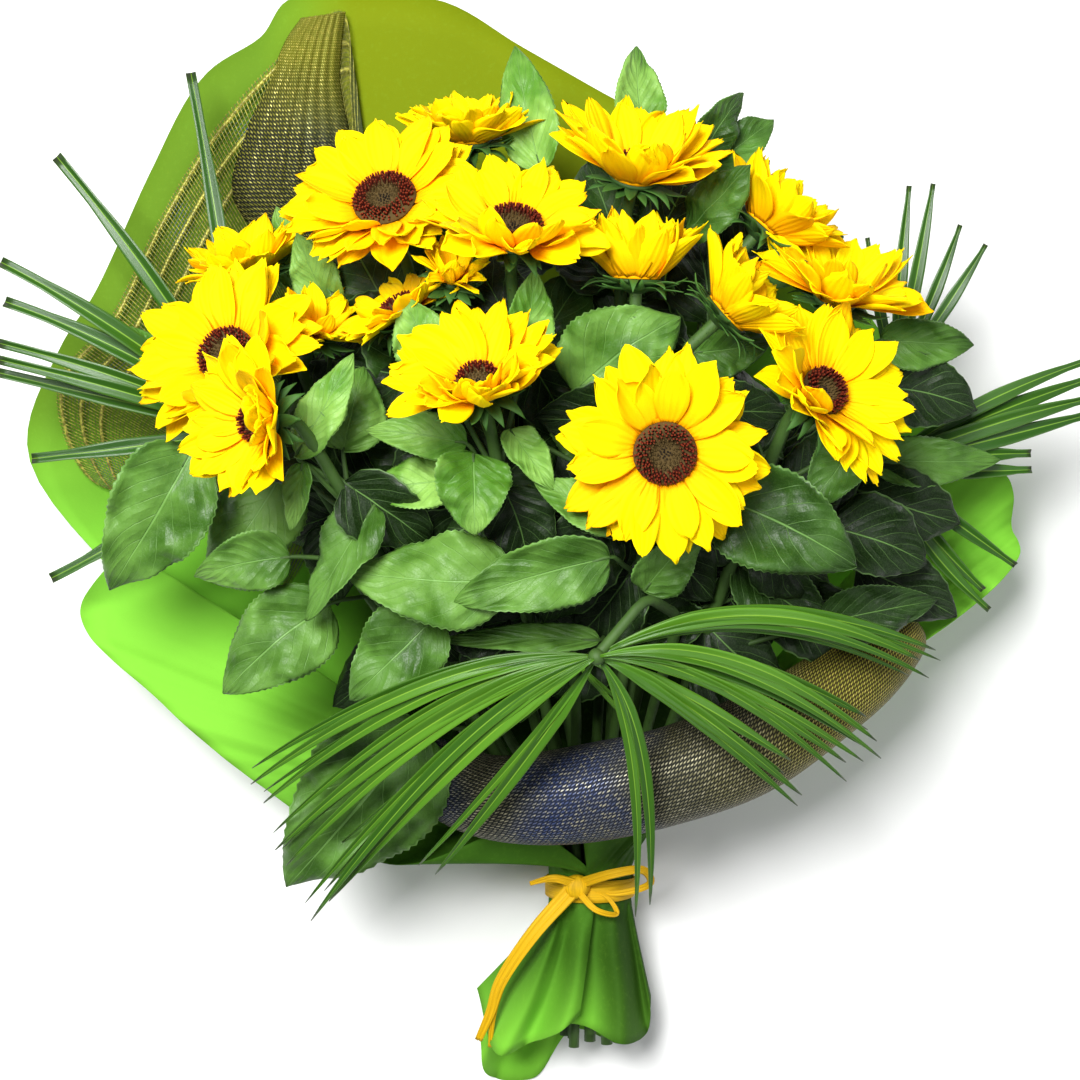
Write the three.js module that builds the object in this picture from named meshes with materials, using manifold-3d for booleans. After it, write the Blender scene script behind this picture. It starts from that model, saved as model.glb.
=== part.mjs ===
// A florist's bunch of sunflowers, tied at the waist and laid on its back on a table.
// X runs to the right, Y from the stem ends to the heads, Z up from the table. Millimetres and degrees.
import * as THREE from "three";
import { mergeVertices } from "three/addons/utils/BufferGeometryUtils.js";
import Module from "manifold-3d";

const wasm = await Module();
wasm.setup();

// Places in the tables are [right, up, high]: right and up as an eye straight above the middle sees them, true at
// READING_HEIGHT, and the real height over the table.
const EYE_HEIGHT = 1500;
const READING_HEIGHT = 190;
const MIDDLE = { x: 7, y: -4 }; // middle of the whole bunch, which is the origin

const CLEARANCE = 0.35; // left between two pieces where one bends round the other
const TIP_CLEARANCE = 4; // times as much beyond a blade's pointed tip
const SMALLEST_EDGE = 0.06; // shorter edges are closed after a cut

// The tied waist and the stems in it.
const WAIST = { right: 30, up: -207, high: 36 };
const STEM_RADIUS = 4;
const PALM_STEM_RADIUS = 3.6;
const STEM_PITCH = 8.2; // from stem to stem in a row of the tied bundle
const ROW_PITCH = 8.7;
const STEM_ROWS = [4, 5, 5, 5, 3]; // stems in each row of the bundle, the lowest first
const STEM_TAIL = 105; // length below the tie
const STEM_SPLAY = 0.35; // how much wider the bundle is at its cut ends
const STEM_DROP = 3; // of the cut ends towards the table
const STEM_SAG = 3; // of a stem between the tie and the head
const STEM_SIDES = 5;
const TIE_HALF = 9; // the stems and the wrap run straight this far on both sides of the tie
const NECK = 26; // straight length behind a head
const WRAP_WAIST = 26.8; // radius of the gathered wrap
const WRAP_THICK = 1.2;
const RIBBON = {
  radius: 28.9, width: 13, thick: 1, sides: 16, knot: [22, -208, 68], knotSize: [9, 8, 6],
  strips: [
    { width: 9, cells: 6, way: [[24, -206, 70], [44, -200, 84], [62, -198, 80], [66, -206, 70], [46, -212, 64], [26, -209, 66]] },
    { width: 7, cells: 4, way: [[22, -210, 70], [34, -222, 78], [46, -224, 72], [40, -214, 66], [26, -209, 66]] },
    { width: 8, cells: 3, way: [[24, -207, 70], [8, -203, 76], [-6, -206, 70]] },
    { width: 11, cells: 4, way: [[20, -209, 70], [-4, -236, 74], [-24, -266, 66], [-30, -284, 60], [-37, -300, 52]] },
    { width: 6, cells: 3, way: [[-22, -262, 67], [-28, -284, 58], [-30, -304, 48]] },
  ],
};

const BIG_DISC = 18; // heads with a disc this big have finer petals

// The heads. facing: [direction it leans to, tilt from straight up], disc and reach: radii, cup: how far the petals
// stand forward, close: how much more on the side that it leans away from, slot: [row, place] of its stem.
const BLOOMS = [
  { name: "front_right", at: [75, 52, 262], facing: [-90, 12], disc: 18.5, reach: 61, cup: 8, petals: 8, slot: [4, 1] },
  { name: "front_middle", at: [-37, 94, 262], facing: [105, 34], disc: 13.5, reach: 53, cup: 24, close: 38, petals: 8, slot: [3, 1] },
  { name: "top_left", at: [-93, 204, 215], facing: [110, 33], disc: 19.5, reach: 60, cup: 12, close: 12, petals: 8, slot: [1, 1] },
  { name: "top_middle", at: [-16, 187, 253], facing: [85, 42], disc: 18, reach: 56, cup: 12, close: 32, petals: 8, slot: [3, 2] },
  { name: "top_back", at: [-42, 243, 160], facing: [90, 66], disc: 13, reach: 46, cup: 32, close: 16, petals: 6, slot: [0, 2] },
  { name: "top_right", at: [57, 222, 215], facing: [80, 54], disc: 16, reach: 58, cup: 36, close: 22, petals: 8, slot: [1, 2] },
  { name: "left_back", at: [-188, 111, 203], facing: [130, 28], disc: 18, reach: 60, cup: 10, close: 18, petals: 8, slot: [2, 0] },
  { name: "left_front", at: [-169, 71, 272], facing: [185, 34], disc: 12, reach: 50, cup: 22, close: 40, petals: 8, slot: [3, 0] },
  { name: "left_top", at: [-174, 163, 150], facing: [110, 66], disc: 13, reach: 46, cup: 30, close: 16, petals: 6, slot: [0, 1] },
  { name: "left_small", at: [-133, 126, 182], facing: [60, 50], disc: 0, reach: 32, cup: 38, petals: 5, slot: [1, 0] },
  { name: "middle_small", at: [-84, 138, 214], facing: [120, 66], disc: 12, reach: 40, cup: 14, close: 14, petals: 6, slot: [2, 1] },
  { name: "middle_bud", at: [-53, 158, 228], facing: [80, 42], disc: 0, reach: 28, cup: 50, petals: 5, slot: [2, 2] },
  { name: "centre_side", at: [58, 160, 234], facing: [88, 82], disc: 15, reach: 52, cup: 58, petals: 6, slot: [2, 3] },
  { name: "centre_right", at: [114, 138, 254], facing: [42, 78], disc: 15, reach: 50, cup: 55, petals: 6, slot: [3, 3] },
  { name: "upper_right", at: [136, 190, 200], facing: [48, 82], disc: 15, reach: 50, cup: 50, petals: 6, slot: [1, 3] },
  { name: "right_back", at: [178, 148, 212], facing: [72, 58], disc: 14, reach: 54, cup: 22, close: 26, petals: 8, slot: [2, 4] },
  { name: "right_front", at: [170, 89, 255], facing: [35, 34], disc: 14.5, reach: 57, cup: 14, close: 34, petals: 8, slot: [3, 4] },
];

// The leaves, by the head whose stem carries them. from: the share of the stem from the tie to the neck where the
// stalk leaves it, root and tip: ends of the blade, roll: turn about its midrib.
const LEAVES = {
  top_back: [{ from: 0.9, root: [0, 222, 158], tip: [-15, 296, 150], width: 38, roll: -12 }],
  top_right: [
    { from: 0.95, root: [62, 246, 168], tip: [58, 296, 168], width: 32, roll: 10 },
    { from: 0.88, root: [88, 184, 190], tip: [126, 225, 226], width: 34, roll: -30 },
    { from: 0.42, root: [36, -60, 176], tip: [-60, -60, 172], width: 20, roll: 20 },
  ],
  upper_right: [
    { from: 0.92, root: [98, 232, 172], tip: [122, 268, 172], width: 28, roll: 15 },
    { from: 0.88, root: [104, 224, 160], tip: [140, 252, 154], width: 30, roll: -10 },
    { from: 0.9, root: [134, 160, 168], tip: [182, 182, 172], width: 28, roll: 10 },
  ],
  right_back: [
    { from: 0.88, root: [204, 120, 176], tip: [260, 117, 172], width: 32, roll: 15 },
    { from: 0.8, root: [198, 48, 160], tip: [276, 48, 150], width: 32, roll: 0 },
  ],
  left_top: [
    { from: 0.9, root: [-144, 150, 120], tip: [-158, 200, 124], width: 24, roll: 0 },
    { from: 0.88, root: [-218, 98, 140], tip: [-246, 128, 140], width: 20, roll: 0 },
  ],
  left_small: [
    { from: 0.9, root: [-126, 138, 160], tip: [-146, 184, 184], width: 30, roll: -15 },
    { from: 0.72, root: [-99, 21, 212], tip: [-141, -48, 206], width: 38, roll: 25 },
  ],
  front_middle: [
    { from: 0.88, root: [-60, 99, 222], tip: [-82, 145, 242], width: 38, roll: -10 },
    { from: 0.9, root: [-9, 112, 228], tip: [-3, 162, 238], width: 30, roll: 8 },
    { from: 0.84, root: [-44, 58, 224], tip: [-104, 66, 222], width: 28, roll: 5 },
    { from: 0.82, root: [-40, 52, 238], tip: [-39, 3, 243], width: 44, roll: 0 },
    { from: 0.75, root: [-52, 36, 206], tip: [-104, 30, 208], width: 34, roll: 10 },
    { from: 0.55, root: [-18, -24, 212], tip: [-118, -18, 206], width: 58, roll: 12 },
  ],
  front_right: [
    { from: 0.92, root: [20, 88, 216], tip: [84, 134, 230], width: 62, roll: 0 },
    { from: 0.88, root: [-18, 66, 222], tip: [8, 30, 236], width: 24, roll: -15 },
    { from: 0.72, root: [42, -10, 224], tip: [-52, -38, 222], width: 44, roll: -12 },
    { from: 0.84, root: [48, 10, 234], tip: [-4, 36, 232], width: 30, roll: 10 },
    { from: 0.72, root: [62, -30, 200], tip: [98, 8, 212], width: 36, roll: 20 },
  ],
  centre_right: [
    { from: 0.86, root: [92, 112, 206], tip: [138, 118, 204], width: 34, roll: 10 },
    { from: 0.8, root: [98, 74, 190], tip: [146, 50, 184], width: 42, roll: 0 },
  ],
  centre_side: [
    { from: 0.72, root: [40, 52, 172], tip: [4, 92, 168], width: 44, roll: 0 },
    { from: 0.5, root: [52, -46, 140], tip: [108, -62, 134], width: 48, roll: 8 },
  ],
  left_front: [
    { from: 0.84, root: [-118, 54, 196], tip: [-106, 104, 190], width: 44, roll: 0 },
    { from: 0.88, root: [-146, 50, 226], tip: [-112, 112, 236], width: 28, roll: -30 },
    { from: 0.88, root: [-208, 54, 196], tip: [-258, -30, 172], width: 62, roll: -8 },
    { from: 0.82, root: [-142, 46, 236], tip: [-150, 6, 234], width: 22, roll: 25 },
    { from: 0.72, root: [-150, -10, 204], tip: [-207, -22, 196], width: 36, roll: 0 },
    { from: 0.35, root: [-70, -112, 140], tip: [-152, -208, 128], width: 88, roll: 0 },
  ],
  middle_small: [{ from: 0.6, root: [-126, -38, 182], tip: [-190, -92, 186], width: 56, roll: 0 }],
  top_left: [{ from: 0.5, root: [-62, -46, 186], tip: [-114, -96, 178], width: 52, roll: 8 }],
  right_front: [
    { from: 0.8, root: [106, 26, 214], tip: [190, -16, 222], width: 62, roll: 8 },
    { from: 0.5, root: [168, -50, 158], tip: [238, -36, 142], width: 36, roll: 0 },
    { from: 0.84, root: [192, 60, 196], tip: [160, 18, 200], width: 34, roll: 15 },
    { from: 0.6, root: [118, -14, 160], tip: [176, -56, 148], width: 46, roll: 0 },
  ],
};

// The palm fronds. hub: where the leaflets meet, rise: middle points of the stalk on its way there, leaflets: [tip,
// the point that the leaflet bends towards on its way].
const FRONDS = [
  {
    name: "palm_front_fan", slot: [4, 2], hub: [34, -70, 232], rise: [[52, -166, 78], [66, -106, 112], [84, -46, 180], [64, -34, 222]],
    width: 9.5,
    leaflets: [
      [[-174, -147, 176], [-60, -66, 232]],
      [[-166, -158, 168], [-58, -72, 230]],
      [[-159, -186, 160], [-52, -80, 228]],
      [[-152, -195, 152], [-46, -88, 226]],
      [[-137, -228, 146], [-40, -96, 226]],
      [[-126, -216, 142], [-34, -104, 224]],
      [[-112, -190, 140], [-30, -112, 220]],
      [[-63, -201, 146], [8, -120, 226]],
      [[66, -219, 150], [70, -110, 232]],
      [[157, -153, 178], [76, -84, 240]],
      [[150, -132, 186], [84, -90, 224]],
      [[183, -133, 182], [100, -66, 238]],
      [[193, -123, 178], [110, -66, 232]],
      [[201, -120, 182], [112, -50, 240]],
      [[196, -106, 176], [112, -56, 226]],
      [[219, -75, 178], [122, -32, 236]],
      [[228, -72, 184], [128, -20, 240]],
      [[237, -66, 176], [124, -20, 226]],
    ],
  },
  {
    name: "palm_feather", slot: [4, 0], hub: [20, -72, 186], rise: [[20, -166, 82], [22, -108, 116]], width: 3.5,
    leaflets: [
      [[-8, -98, 182], [8, -84, 186]],
      [[-12, -110, 176], [6, -92, 182]],
      [[50, -98, 182], [34, -84, 186]],
      [[54, -110, 176], [34, -92, 182]],
      [[-14, -82, 188], [4, -74, 192]],
      [[46, -84, 188], [36, -74, 192]],
    ],
  },
  {
    name: "palm_left_fan", slot: [0, 0], hub: [-176, 66, 126], rise: [[-4, -172, 30], [-120, -10, 78]], width: 9.5,
    leaflets: [
      [[-291, 231, 150], [-226, 152, 152]],
      [[-210, 281, 110], [-192, 178, 112]],
      [[-324, 167, 164], [-246, 128, 168]],
      [[-321, 143, 152], [-242, 114, 156]],
      [[-324, 118, 146], [-244, 100, 152]],
      [[-324, 108, 158], [-242, 88, 164]],
      [[-324, 100, 140], [-242, 80, 144]],
      [[-306, 49, 142], [-240, 54, 148]],
      [[-294, -23, 134], [-232, 10, 138]],
    ],
  },
  {
    name: "palm_right_fan", slot: [1, 4], hub: [204, 44, 134], rise: [[64, -170, 46], [150, -40, 108]], width: 9.5,
    leaflets: [
      [[330, 108, 132], [262, 88, 136]],
      [[334, 98, 124], [266, 80, 128]],
      [[334, 86, 134], [268, 70, 138]],
      [[332, 76, 126], [268, 62, 130]],
      [[294, 52, 122], [250, 52, 126]],
      [[294, 42, 132], [250, 42, 136]],
      [[284, -15, 124], [246, 14, 130]],
      [[267, -30, 118], [236, 2, 122]],
      [[270, -42, 126], [234, -8, 130]],
    ],
  },
  {
    name: "palm_right_blades", slot: [0, 3], hub: [214, 98, 98], rise: [[50, -160, 42], [136, -30, 78]], width: 8,
    leaflets: [
      [[197, 182, 108], [206, 140, 106]],
      [[222, 213, 104], [218, 150, 104]],
      [[236, 214, 112], [228, 152, 112]],
      [[252, 189, 104], [236, 142, 104]],
      [[267, 177, 112], [244, 136, 112]],
    ],
  },
];

// The wrap. arc: the part of the waist it takes, belly: how far it runs on before it opens out, bellyHigh: the height
// it sags towards, edge: its outer edge, hem: the edge of its tail below the tie.
const WRAPS = [
  {
    name: "wrap_back_sheet", arc: [172, 368], belly: 0.16, bellyHigh: -50, folds: 3, foldDepth: 5, cells: [12, 7],
    edge: [
      [-234, -44, 62], [-306, 51, 62], [-288, 114, 64], [-267, 150, 64], [-234, 222, 62], [-201, 279, 60],
      [-167, 301, 58], [-150, 324, 58], [-60, 324, 56], [-12, 297, 52], [33, 271, 46], [100, 232, 34],
      [170, 170, 30], [214, 110, 32], [240, 60, 38], [262, 14, 52],
    ],
    hem: [[-36, -296, 24], [-30, -322, 6], [-4, -323, 4], [20, -294, 4], [52, -300, 3], [64, -276, 26]],
  },
  {
    name: "wrap_left_panel", arc: [86, 170], belly: 0.12, folds: 2, foldDepth: 5, cells: [6, 6],
    edge: [[-10, -168, 108], [-90, -194, 98], [-165, -150, 92], [-228, -96, 92], [-276, -44, 92], [-250, -4, 88]],
    hem: [[24, -284, 70], [-2, -302, 66], [-26, -306, 50], [-38, -270, 34]],
  },
  {
    name: "wrap_right_panel", arc: [-2, 84], belly: 0.12, folds: 2, foldDepth: 5, cells: [6, 6],
    edge: [[256, 58, 68], [282, 34, 76], [284, 8, 82], [288, -8, 84], [234, -58, 94], [120, -120, 104], [24, -166, 108]],
    hem: [[66, -272, 36], [64, -298, 52], [46, -298, 66], [26, -288, 70]],
  },
];

// The woven mesh: a sheet over the left of the wrap, and the thick roll across the front.
const MESH_SHEET = {
  thick: 1, cells: [9, 4], folds: 3, slant: 3, foldDepth: 2, lift: 6, landing: 3,
  foot: [[-150, -30], [-120, 20], [-96, 90], [-80, 150]],
  edge: [
    [-216, 30], [-270, 36], [-290, 93], [-258, 134], [-229, 192], [-196, 246], [-148, 298], [-119, 318], [-114, 270],
    [-112, 220],
  ],
};
const MESH_ROLL = {
  sides: 10, steps: 8, endRadius: 14, radius: 31,
  path: [[-86, -128, 97], [-30, -154, 125], [50, -148, 141], [120, -126, 141], [180, -88, 131], [222, -52, 111]],
};

const FINISHES = {
  petal: { color: 0xffd400, roughness: 0.55 },
  disc: { color: 0x2a1712, roughness: 0.9 },
  leaf: { color: 0x2f6b2a, roughness: 0.55 },
  palm: { color: 0x3f7d2c, roughness: 0.45 },
  wrap: { color: 0x7fd43f, roughness: 0.8 },
  mesh: { color: 0x3d4150, roughness: 0.6 },
  ribbon: { color: 0xe8b923, roughness: 0.7 },
};

const radians = THREE.MathUtils.degToRad;
const UP = new THREE.Vector3(0, 0, 1);

// The real place of a point of the tables.
function seen([right, up, high]) {
  const spread = (EYE_HEIGHT - high) / (EYE_HEIGHT - READING_HEIGHT);
  return new THREE.Vector3(right * spread - MIDDLE.x, up * spread - MIDDLE.y, high);
}

// A seeded draw of numbers from low to high.
function drawer(seed) {
  let state = seed * 7919;
  return (low, high) => {
    state = (state * 1103515245 + 12345) % 2147483648;
    return low + ((high - low) * state) / 2147483648;
  };
}

// ---- solids from geometries ----

function solidOf(geometry) {
  const bare = new THREE.BufferGeometry();
  bare.setAttribute("position", geometry.getAttribute("position"));
  bare.setIndex(geometry.index ?? [...Array(geometry.getAttribute("position").count).keys()]);
  const merged = mergeVertices(bare, 1e-4);
  const kept = [];
  const index = merged.index.array;
  for (let i = 0; i < index.length; i += 3) {
    const [a, b, c] = index.slice(i, i + 3);
    if (a !== b && b !== c && c !== a) kept.push(a, b, c);
  }
  const solid = (triVerts) =>
    new wasm.Manifold(
      new wasm.Mesh({ numProp: 3, vertProperties: merged.attributes.position.array, triVerts: new Uint32Array(triVerts) }),
    );
  const made = solid(kept);
  return made.volume() < 0 ? solid(kept.reverse()) : made;
}

const join = (solids) => solids.reduce((whole, piece) => whole.add(piece));

function largest(solid) {
  return solid.decompose().reduce((a, b) => (b.volume() > a.volume() ? b : a));
}

const boxesMeet = (a, b) => [0, 1, 2].every((k) => a.min[k] < b.max[k] && b.min[k] < a.max[k]);

// What is left of a solid after it bends clear of the others.
function clearOf(solid, others) {
  const box = solid.boundingBox();
  const near = others.filter((other) => boxesMeet(box, other.boundingBox()));
  return near.length ? solid.subtract(join(near)) : solid;
}

function warp(geometry, place) {
  const position = geometry.getAttribute("position");
  const point = new THREE.Vector3();
  for (let i = 0; i < position.count; i++) {
    point.fromBufferAttribute(position, i);
    const to = place(point);
    position.setXYZ(i, to.x, to.y, to.z);
  }
  return geometry;
}

// Turns the diagonal of the quad whose six indices start at i.
function turnDiagonal(index, i) {
  const [a, b, d, , c] = index.slice(i, i + 6);
  index.set([a, b, c, a, c, d], i);
}

// Turns the diagonals along one side of a cone.
function turnSide(index, side, stations) {
  const first = side * 3 * (2 * stations - 1) + 3;
  for (let station = 1; station < stations; station++) turnDiagonal(index, first + (station - 1) * 6);
}

// A pointed blade from a cone: place(along, side, face) puts its points. Its edges have a side of -1 and 1, its ribs
// a face of -1 and 1.
function blade(stations, place) {
  const cone = new THREE.ConeGeometry(1, 1, 4, stations);
  const index = Uint32Array.from(cone.index.array);
  turnSide(index, 1, stations);
  turnSide(index, 3, stations);
  cone.setIndex(new THREE.BufferAttribute(index, 1));
  return solidOf(
    warp(cone, ({ x, y, z }) => {
      const along = y + 0.5;
      const size = Math.max(1 - along, 1e-6);
      return place(along, Math.round(x / size), Math.round(z / size));
    }),
  );
}

// The same with a flat top and one rib below, for small blades. What is cut clear of it takes the full blade, grown.
function spear(stations, grow, place) {
  if (grow) return blade(stations, place);
  const cone = new THREE.ConeGeometry(1, 1, 3, stations, false, Math.PI);
  const index = Uint32Array.from(cone.index.array);
  turnSide(index, 2, stations);
  cone.setIndex(new THREE.BufferAttribute(index, 1));
  return solidOf(
    warp(cone, ({ x, y, z }) => {
      const along = y + 0.5;
      const size = Math.max(1 - along, 1e-6);
      return place(along, Math.sign(Math.round((x / size) * 2)), z / size < -0.8 ? -1 : 0);
    }),
  );
}

// A thin sheet: place(across, along, face) puts its points, across and along from 0 to 1, face -1 or 1.
function slab([cellsAcross, cellsAlong], place) {
  const box = new THREE.BoxGeometry(1, 1, 1, cellsAcross, cellsAlong, 1);
  const index = Uint32Array.from(box.index.array);
  const back = box.groups[5];
  for (let i = back.start; i < back.start + back.count; i += 6) turnDiagonal(index, i);
  box.setIndex(new THREE.BufferAttribute(index, 1));
  return solidOf(warp(box, ({ x, y, z }) => place(x + 0.5, y + 0.5, Math.sign(z))));
}

function tube(curve, radius, sides, steps) {
  const corners = Array.from({ length: sides }, (_, i) => {
    const turn = (2 * Math.PI * i) / sides;
    return new THREE.Vector2(radius * Math.cos(turn), radius * Math.sin(turn));
  });
  const section = new THREE.Shape(corners);
  return solidOf(new THREE.ExtrudeGeometry(section, { steps, extrudePath: curve, bevelEnabled: false }));
}

function lathe(profile, sides) {
  return solidOf(new THREE.LatheGeometry(profile.map(([r, h]) => new THREE.Vector2(r, h)), sides));
}

function surfaceOf(solid) {
  const { vertProperties, triVerts } = solid.getMesh();
  const geometry = new THREE.BufferGeometry();
  geometry.setAttribute("position", new THREE.BufferAttribute(vertProperties, 3));
  geometry.setIndex(new THREE.BufferAttribute(triVerts, 1));
  return geometry;
}

function placed(solid, matrix) {
  return solid.transform(matrix.elements);
}

// ---- blades: petals, leaves and leaflets ----

// The frame of a blade along a curve: tangent, across and the side that faces up, rolled about the tangent.
function bladeFrame(curve, along, roll) {
  const tangent = curve.getTangent(along);
  const across = new THREE.Vector3().crossVectors(tangent, UP).normalize();
  const face = new THREE.Vector3().crossVectors(across, tangent);
  across.applyAxisAngle(tangent, roll);
  face.applyAxisAngle(tangent, roll);
  return { across, face };
}

// How high a point of a spear's section lies: its edges at the flat top, its ribs grown away from the middle.
const spearHeight = (side, face, thick, grow) => (side ? thick / 2 : face * (thick / 2 + grow));

function bladePoint(curve, along, grow) {
  const point = curve.getPoint(along);
  return along === 1 ? point.addScaledVector(curve.getTangent(1), TIP_CLEARANCE * grow) : point;
}

const PETAL_THICK = 1.3;
const PETAL_SHARE = 0.19; // the most that half a petal's width takes of the head's reach
const PETAL_ROOT = 0.72; // of the room there is for it at the disc
const PETAL_NARROWS = 0.85; // of its width towards the tip
const PETAL_FOLD = 0.22; // how far its edges stand up, as a share of half its width
const PETAL_OFF_DISC = 0.5;
// Ranges that the petals are drawn from: places, lengths, widths and droops as shares, sways in degrees and mm.
const PETAL_TURN = [-0.08, 0.08];
const PETAL_LENGTH = [0.9, 1.05];
const PETAL_WIDTH = [0.82, 0.92];
const PETAL_DROOP = [0.03, 0.14];
const PETAL_SWAY = [-2, 2];
const LAYER_CUP = [7, -5]; // degrees that the front and the back layer add to the head's cup
const LAYER_REACH = [0.92, 1];
const PLATE_RIM = 3; // how far the plate that holds the petals stands out round the disc
const PLATE_TOP = 0.2;
const SMALLEST_RIM = 5; // of a head that is still half closed
const PLATE_BOTTOM = -3;
const LAYER_HIGH = [-0.65, -2.15]; // of the petals' roots in the front and in the back layer

// A petal that points along +X from the rim of the disc. half: half its width at the root and at its widest.
function petal(rim, { length, half, cup, droop, skew, high }, stations, grow) {
  return spear(stations, grow, (along, side, face) => {
    const reach = along * (length + (along === 1 ? TIP_CLEARANCE * grow : 0));
    const wide = (along === 0 ? half[0] : along > 0.6 ? half[1] * PETAL_NARROWS : half[1]) + 2 * grow;
    const fold = face < 0 ? 0 : along * half[1] * PETAL_FOLD;
    return new THREE.Vector3(
      rim + PETAL_OFF_DISC + reach * Math.cos(cup),
      side * wide + skew * along * along,
      high + reach * Math.sin(cup) - droop * along * along + fold + spearHeight(side, face, PETAL_THICK, grow),
    );
  });
}

const LEAF_THICK = 1.3;
const LEAF_CELLS = 5; // along a leaf, with one more for its stalk
const LEAF_TOOTH = 0.07; // how far the teeth of the edge stand out
const LEAF_ARCH = 0.3; // how high its middle stands, as a share of its width
const LEAF_WAVE = 0.05; // of its edges, as a share of its width
const LEAF_WAVES = 5; // radians of the wave along it
const LEAF_TROUGH = 0.12; // how far its edges stand up, as a share of half its width
const LEAF_TIP = 0.1; // width of its ends, as a share of its width
const STALK_HALF = 1.6;
const leafOutline = (along) => Math.max(LEAF_TIP, Math.sin(Math.PI * along ** 0.62) ** 0.75);

// A leaf and its stalk, which leaves the stem at the point from.
function leaf(spec, from, grow) {
  const root = seen(spec.root);
  const tip = seen(spec.tip);
  const middle = root.clone().lerp(tip, 0.5);
  middle.z += spec.width * LEAF_ARCH;
  const curve = new THREE.QuadraticBezierCurve3(root, middle, tip);
  const bend = new THREE.Quaternion().setFromUnitVectors(curve.getTangent(0), root.clone().sub(from).normalize());
  const stations = LEAF_CELLS + 1;
  return blade(stations, (share, side, face) => {
    const station = Math.round(share * stations);
    const along = Math.max(0, station - 1) / LEAF_CELLS;
    const { across, face: top } = bladeFrame(curve, along, radians(spec.roll));
    if (station < 2) {
      const turn = new THREE.Quaternion().slerp(bend, 1 - station / 2);
      across.applyQuaternion(turn);
      top.applyQuaternion(turn);
    }
    const tooth = 1 + (station % 2 ? LEAF_TOOTH : -LEAF_TOOTH);
    const half = station ? (spec.width / 2) * leafOutline(along) * tooth : STALK_HALF;
    const thick = station ? LEAF_THICK / 2 : STALK_HALF;
    const ripple = LEAF_WAVE * spec.width * Math.sin(LEAF_WAVES * along + side);
    const wave = station ? ripple + LEAF_TROUGH * half : 0;
    return (station ? bladePoint(curve, along, grow) : from.clone())
      .addScaledVector(across, side * (half + 2 * grow))
      .addScaledVector(top, Math.abs(side) * wave + face * (thick + grow));
  });
}

const LEAFLET_THICK = 1.4;
const LEAFLET_STATIONS = [[0, 0.2], [0.3, 1], [0.62, 1], [0.94, 0.75], [1, 0]]; // share of its length and of its width
const LEAFLET_LAYERS = 7; // neighbours lie in turn in so many layers
const LEAFLET_STAGGER = 1.8;
const LEAFLET_START = 2; // from the middle of the hub
const KNOB_HIGH = 8;
const KNOB_WIDE = 7;

// The knob at the top of a palm stalk that the leaflets grow from.
function hubKnob(frond, grow) {
  const knob = new THREE.SphereGeometry(1, 7, 4);
  warp(knob, ({ x, y, z }) => new THREE.Vector3(x * (KNOB_WIDE + grow), z * (KNOB_WIDE + grow), y * (KNOB_HIGH + grow)));
  return placed(solidOf(knob), new THREE.Matrix4().makeTranslation(seen(frond.hub)));
}

function leaflet(frond, i, grow) {
  const [tip, over] = frond.leaflets[i];
  const lift = new THREE.Vector3(0, 0, ((i % LEAFLET_LAYERS) - (LEAFLET_LAYERS - 1) / 2) * LEAFLET_STAGGER);
  const hub = seen(frond.hub).add(lift);
  const away = seen(over).add(lift);
  const root = hub.addScaledVector(away.clone().sub(hub).setZ(0).normalize(), LEAFLET_START);
  const curve = new THREE.QuadraticBezierCurve3(root, away, seen(tip).add(lift));
  return spear(LEAFLET_STATIONS.length - 1, grow, (share, side, face) => {
    const station = Math.round(share * (LEAFLET_STATIONS.length - 1));
    const [along, wide] = LEAFLET_STATIONS[station];
    const { across, face: top } = bladeFrame(curve, along, 0);
    const half = (frond.width / 2) * wide + 2 * grow;
    return bladePoint(curve, along, grow)
      .addScaledVector(across, side * half)
      .addScaledVector(top, spearHeight(side, face, LEAFLET_THICK, grow));
  });
}

// ---- stems ----

function slotPlace([row, place]) {
  const waist = seen([WAIST.right, WAIST.up, WAIST.high]);
  const aside = (place - (STEM_ROWS[row] - 1) / 2) * STEM_PITCH;
  const above = (row - (STEM_ROWS.length - 1) / 2) * ROW_PITCH;
  return new THREE.Vector3(waist.x + aside, waist.y, waist.z + above);
}

// The points of a stem from its cut end, straight through the tie and along the way after it.
function stemWay(slot, after) {
  const tied = slotPlace(slot);
  const waist = slotPlace([2, 2]);
  const end = tied.clone();
  end.x += (tied.x - waist.x) * STEM_SPLAY;
  end.y -= STEM_TAIL;
  end.z -= STEM_DROP;
  const below = tied.clone().setY(tied.y - TIE_HALF);
  const above = tied.clone().setY(tied.y + TIE_HALF);
  return [end, below, above, ...after(above)];
}

// The point of a stem at a share of its length from the tie to the neck.
function stemPoint(way, share) {
  const [, , above, middle, neck] = way;
  return share < 0.5 ? above.clone().lerp(middle, share * 2) : middle.clone().lerp(neck, share * 2 - 1);
}

// A curve that an extrusion follows from point to point, with one section at each.
class Way extends THREE.CatmullRomCurve3 {
  getUtoTmapping(share) {
    return share;
  }
}

const stemTube = (way, radius) => tube(new Way(way), radius, STEM_SIDES, way.length - 1);

function facing([lean, tilt]) {
  const flat = Math.sin(radians(tilt));
  return new THREE.Vector3(
    flat * Math.cos(radians(lean)),
    flat * Math.sin(radians(lean)),
    Math.cos(radians(tilt)),
  );
}

const CALYX_DEPTH = 11;
const CALYX_FOOT = 5; // its radius where the stem meets it
const CALYX_SIDES = 7;
const CALYX_GRIP = 3; // how far the stem runs on into it
// past: how far a bract reaches beyond the cup, foot and share: of the cup's radius, where it starts and what it adds
const BRACT = { count: 5, wide: 8.8, thick: 2.4, high: 4.8, droop: 3, past: 11, foot: 0.55, share: 0.45 };

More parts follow.
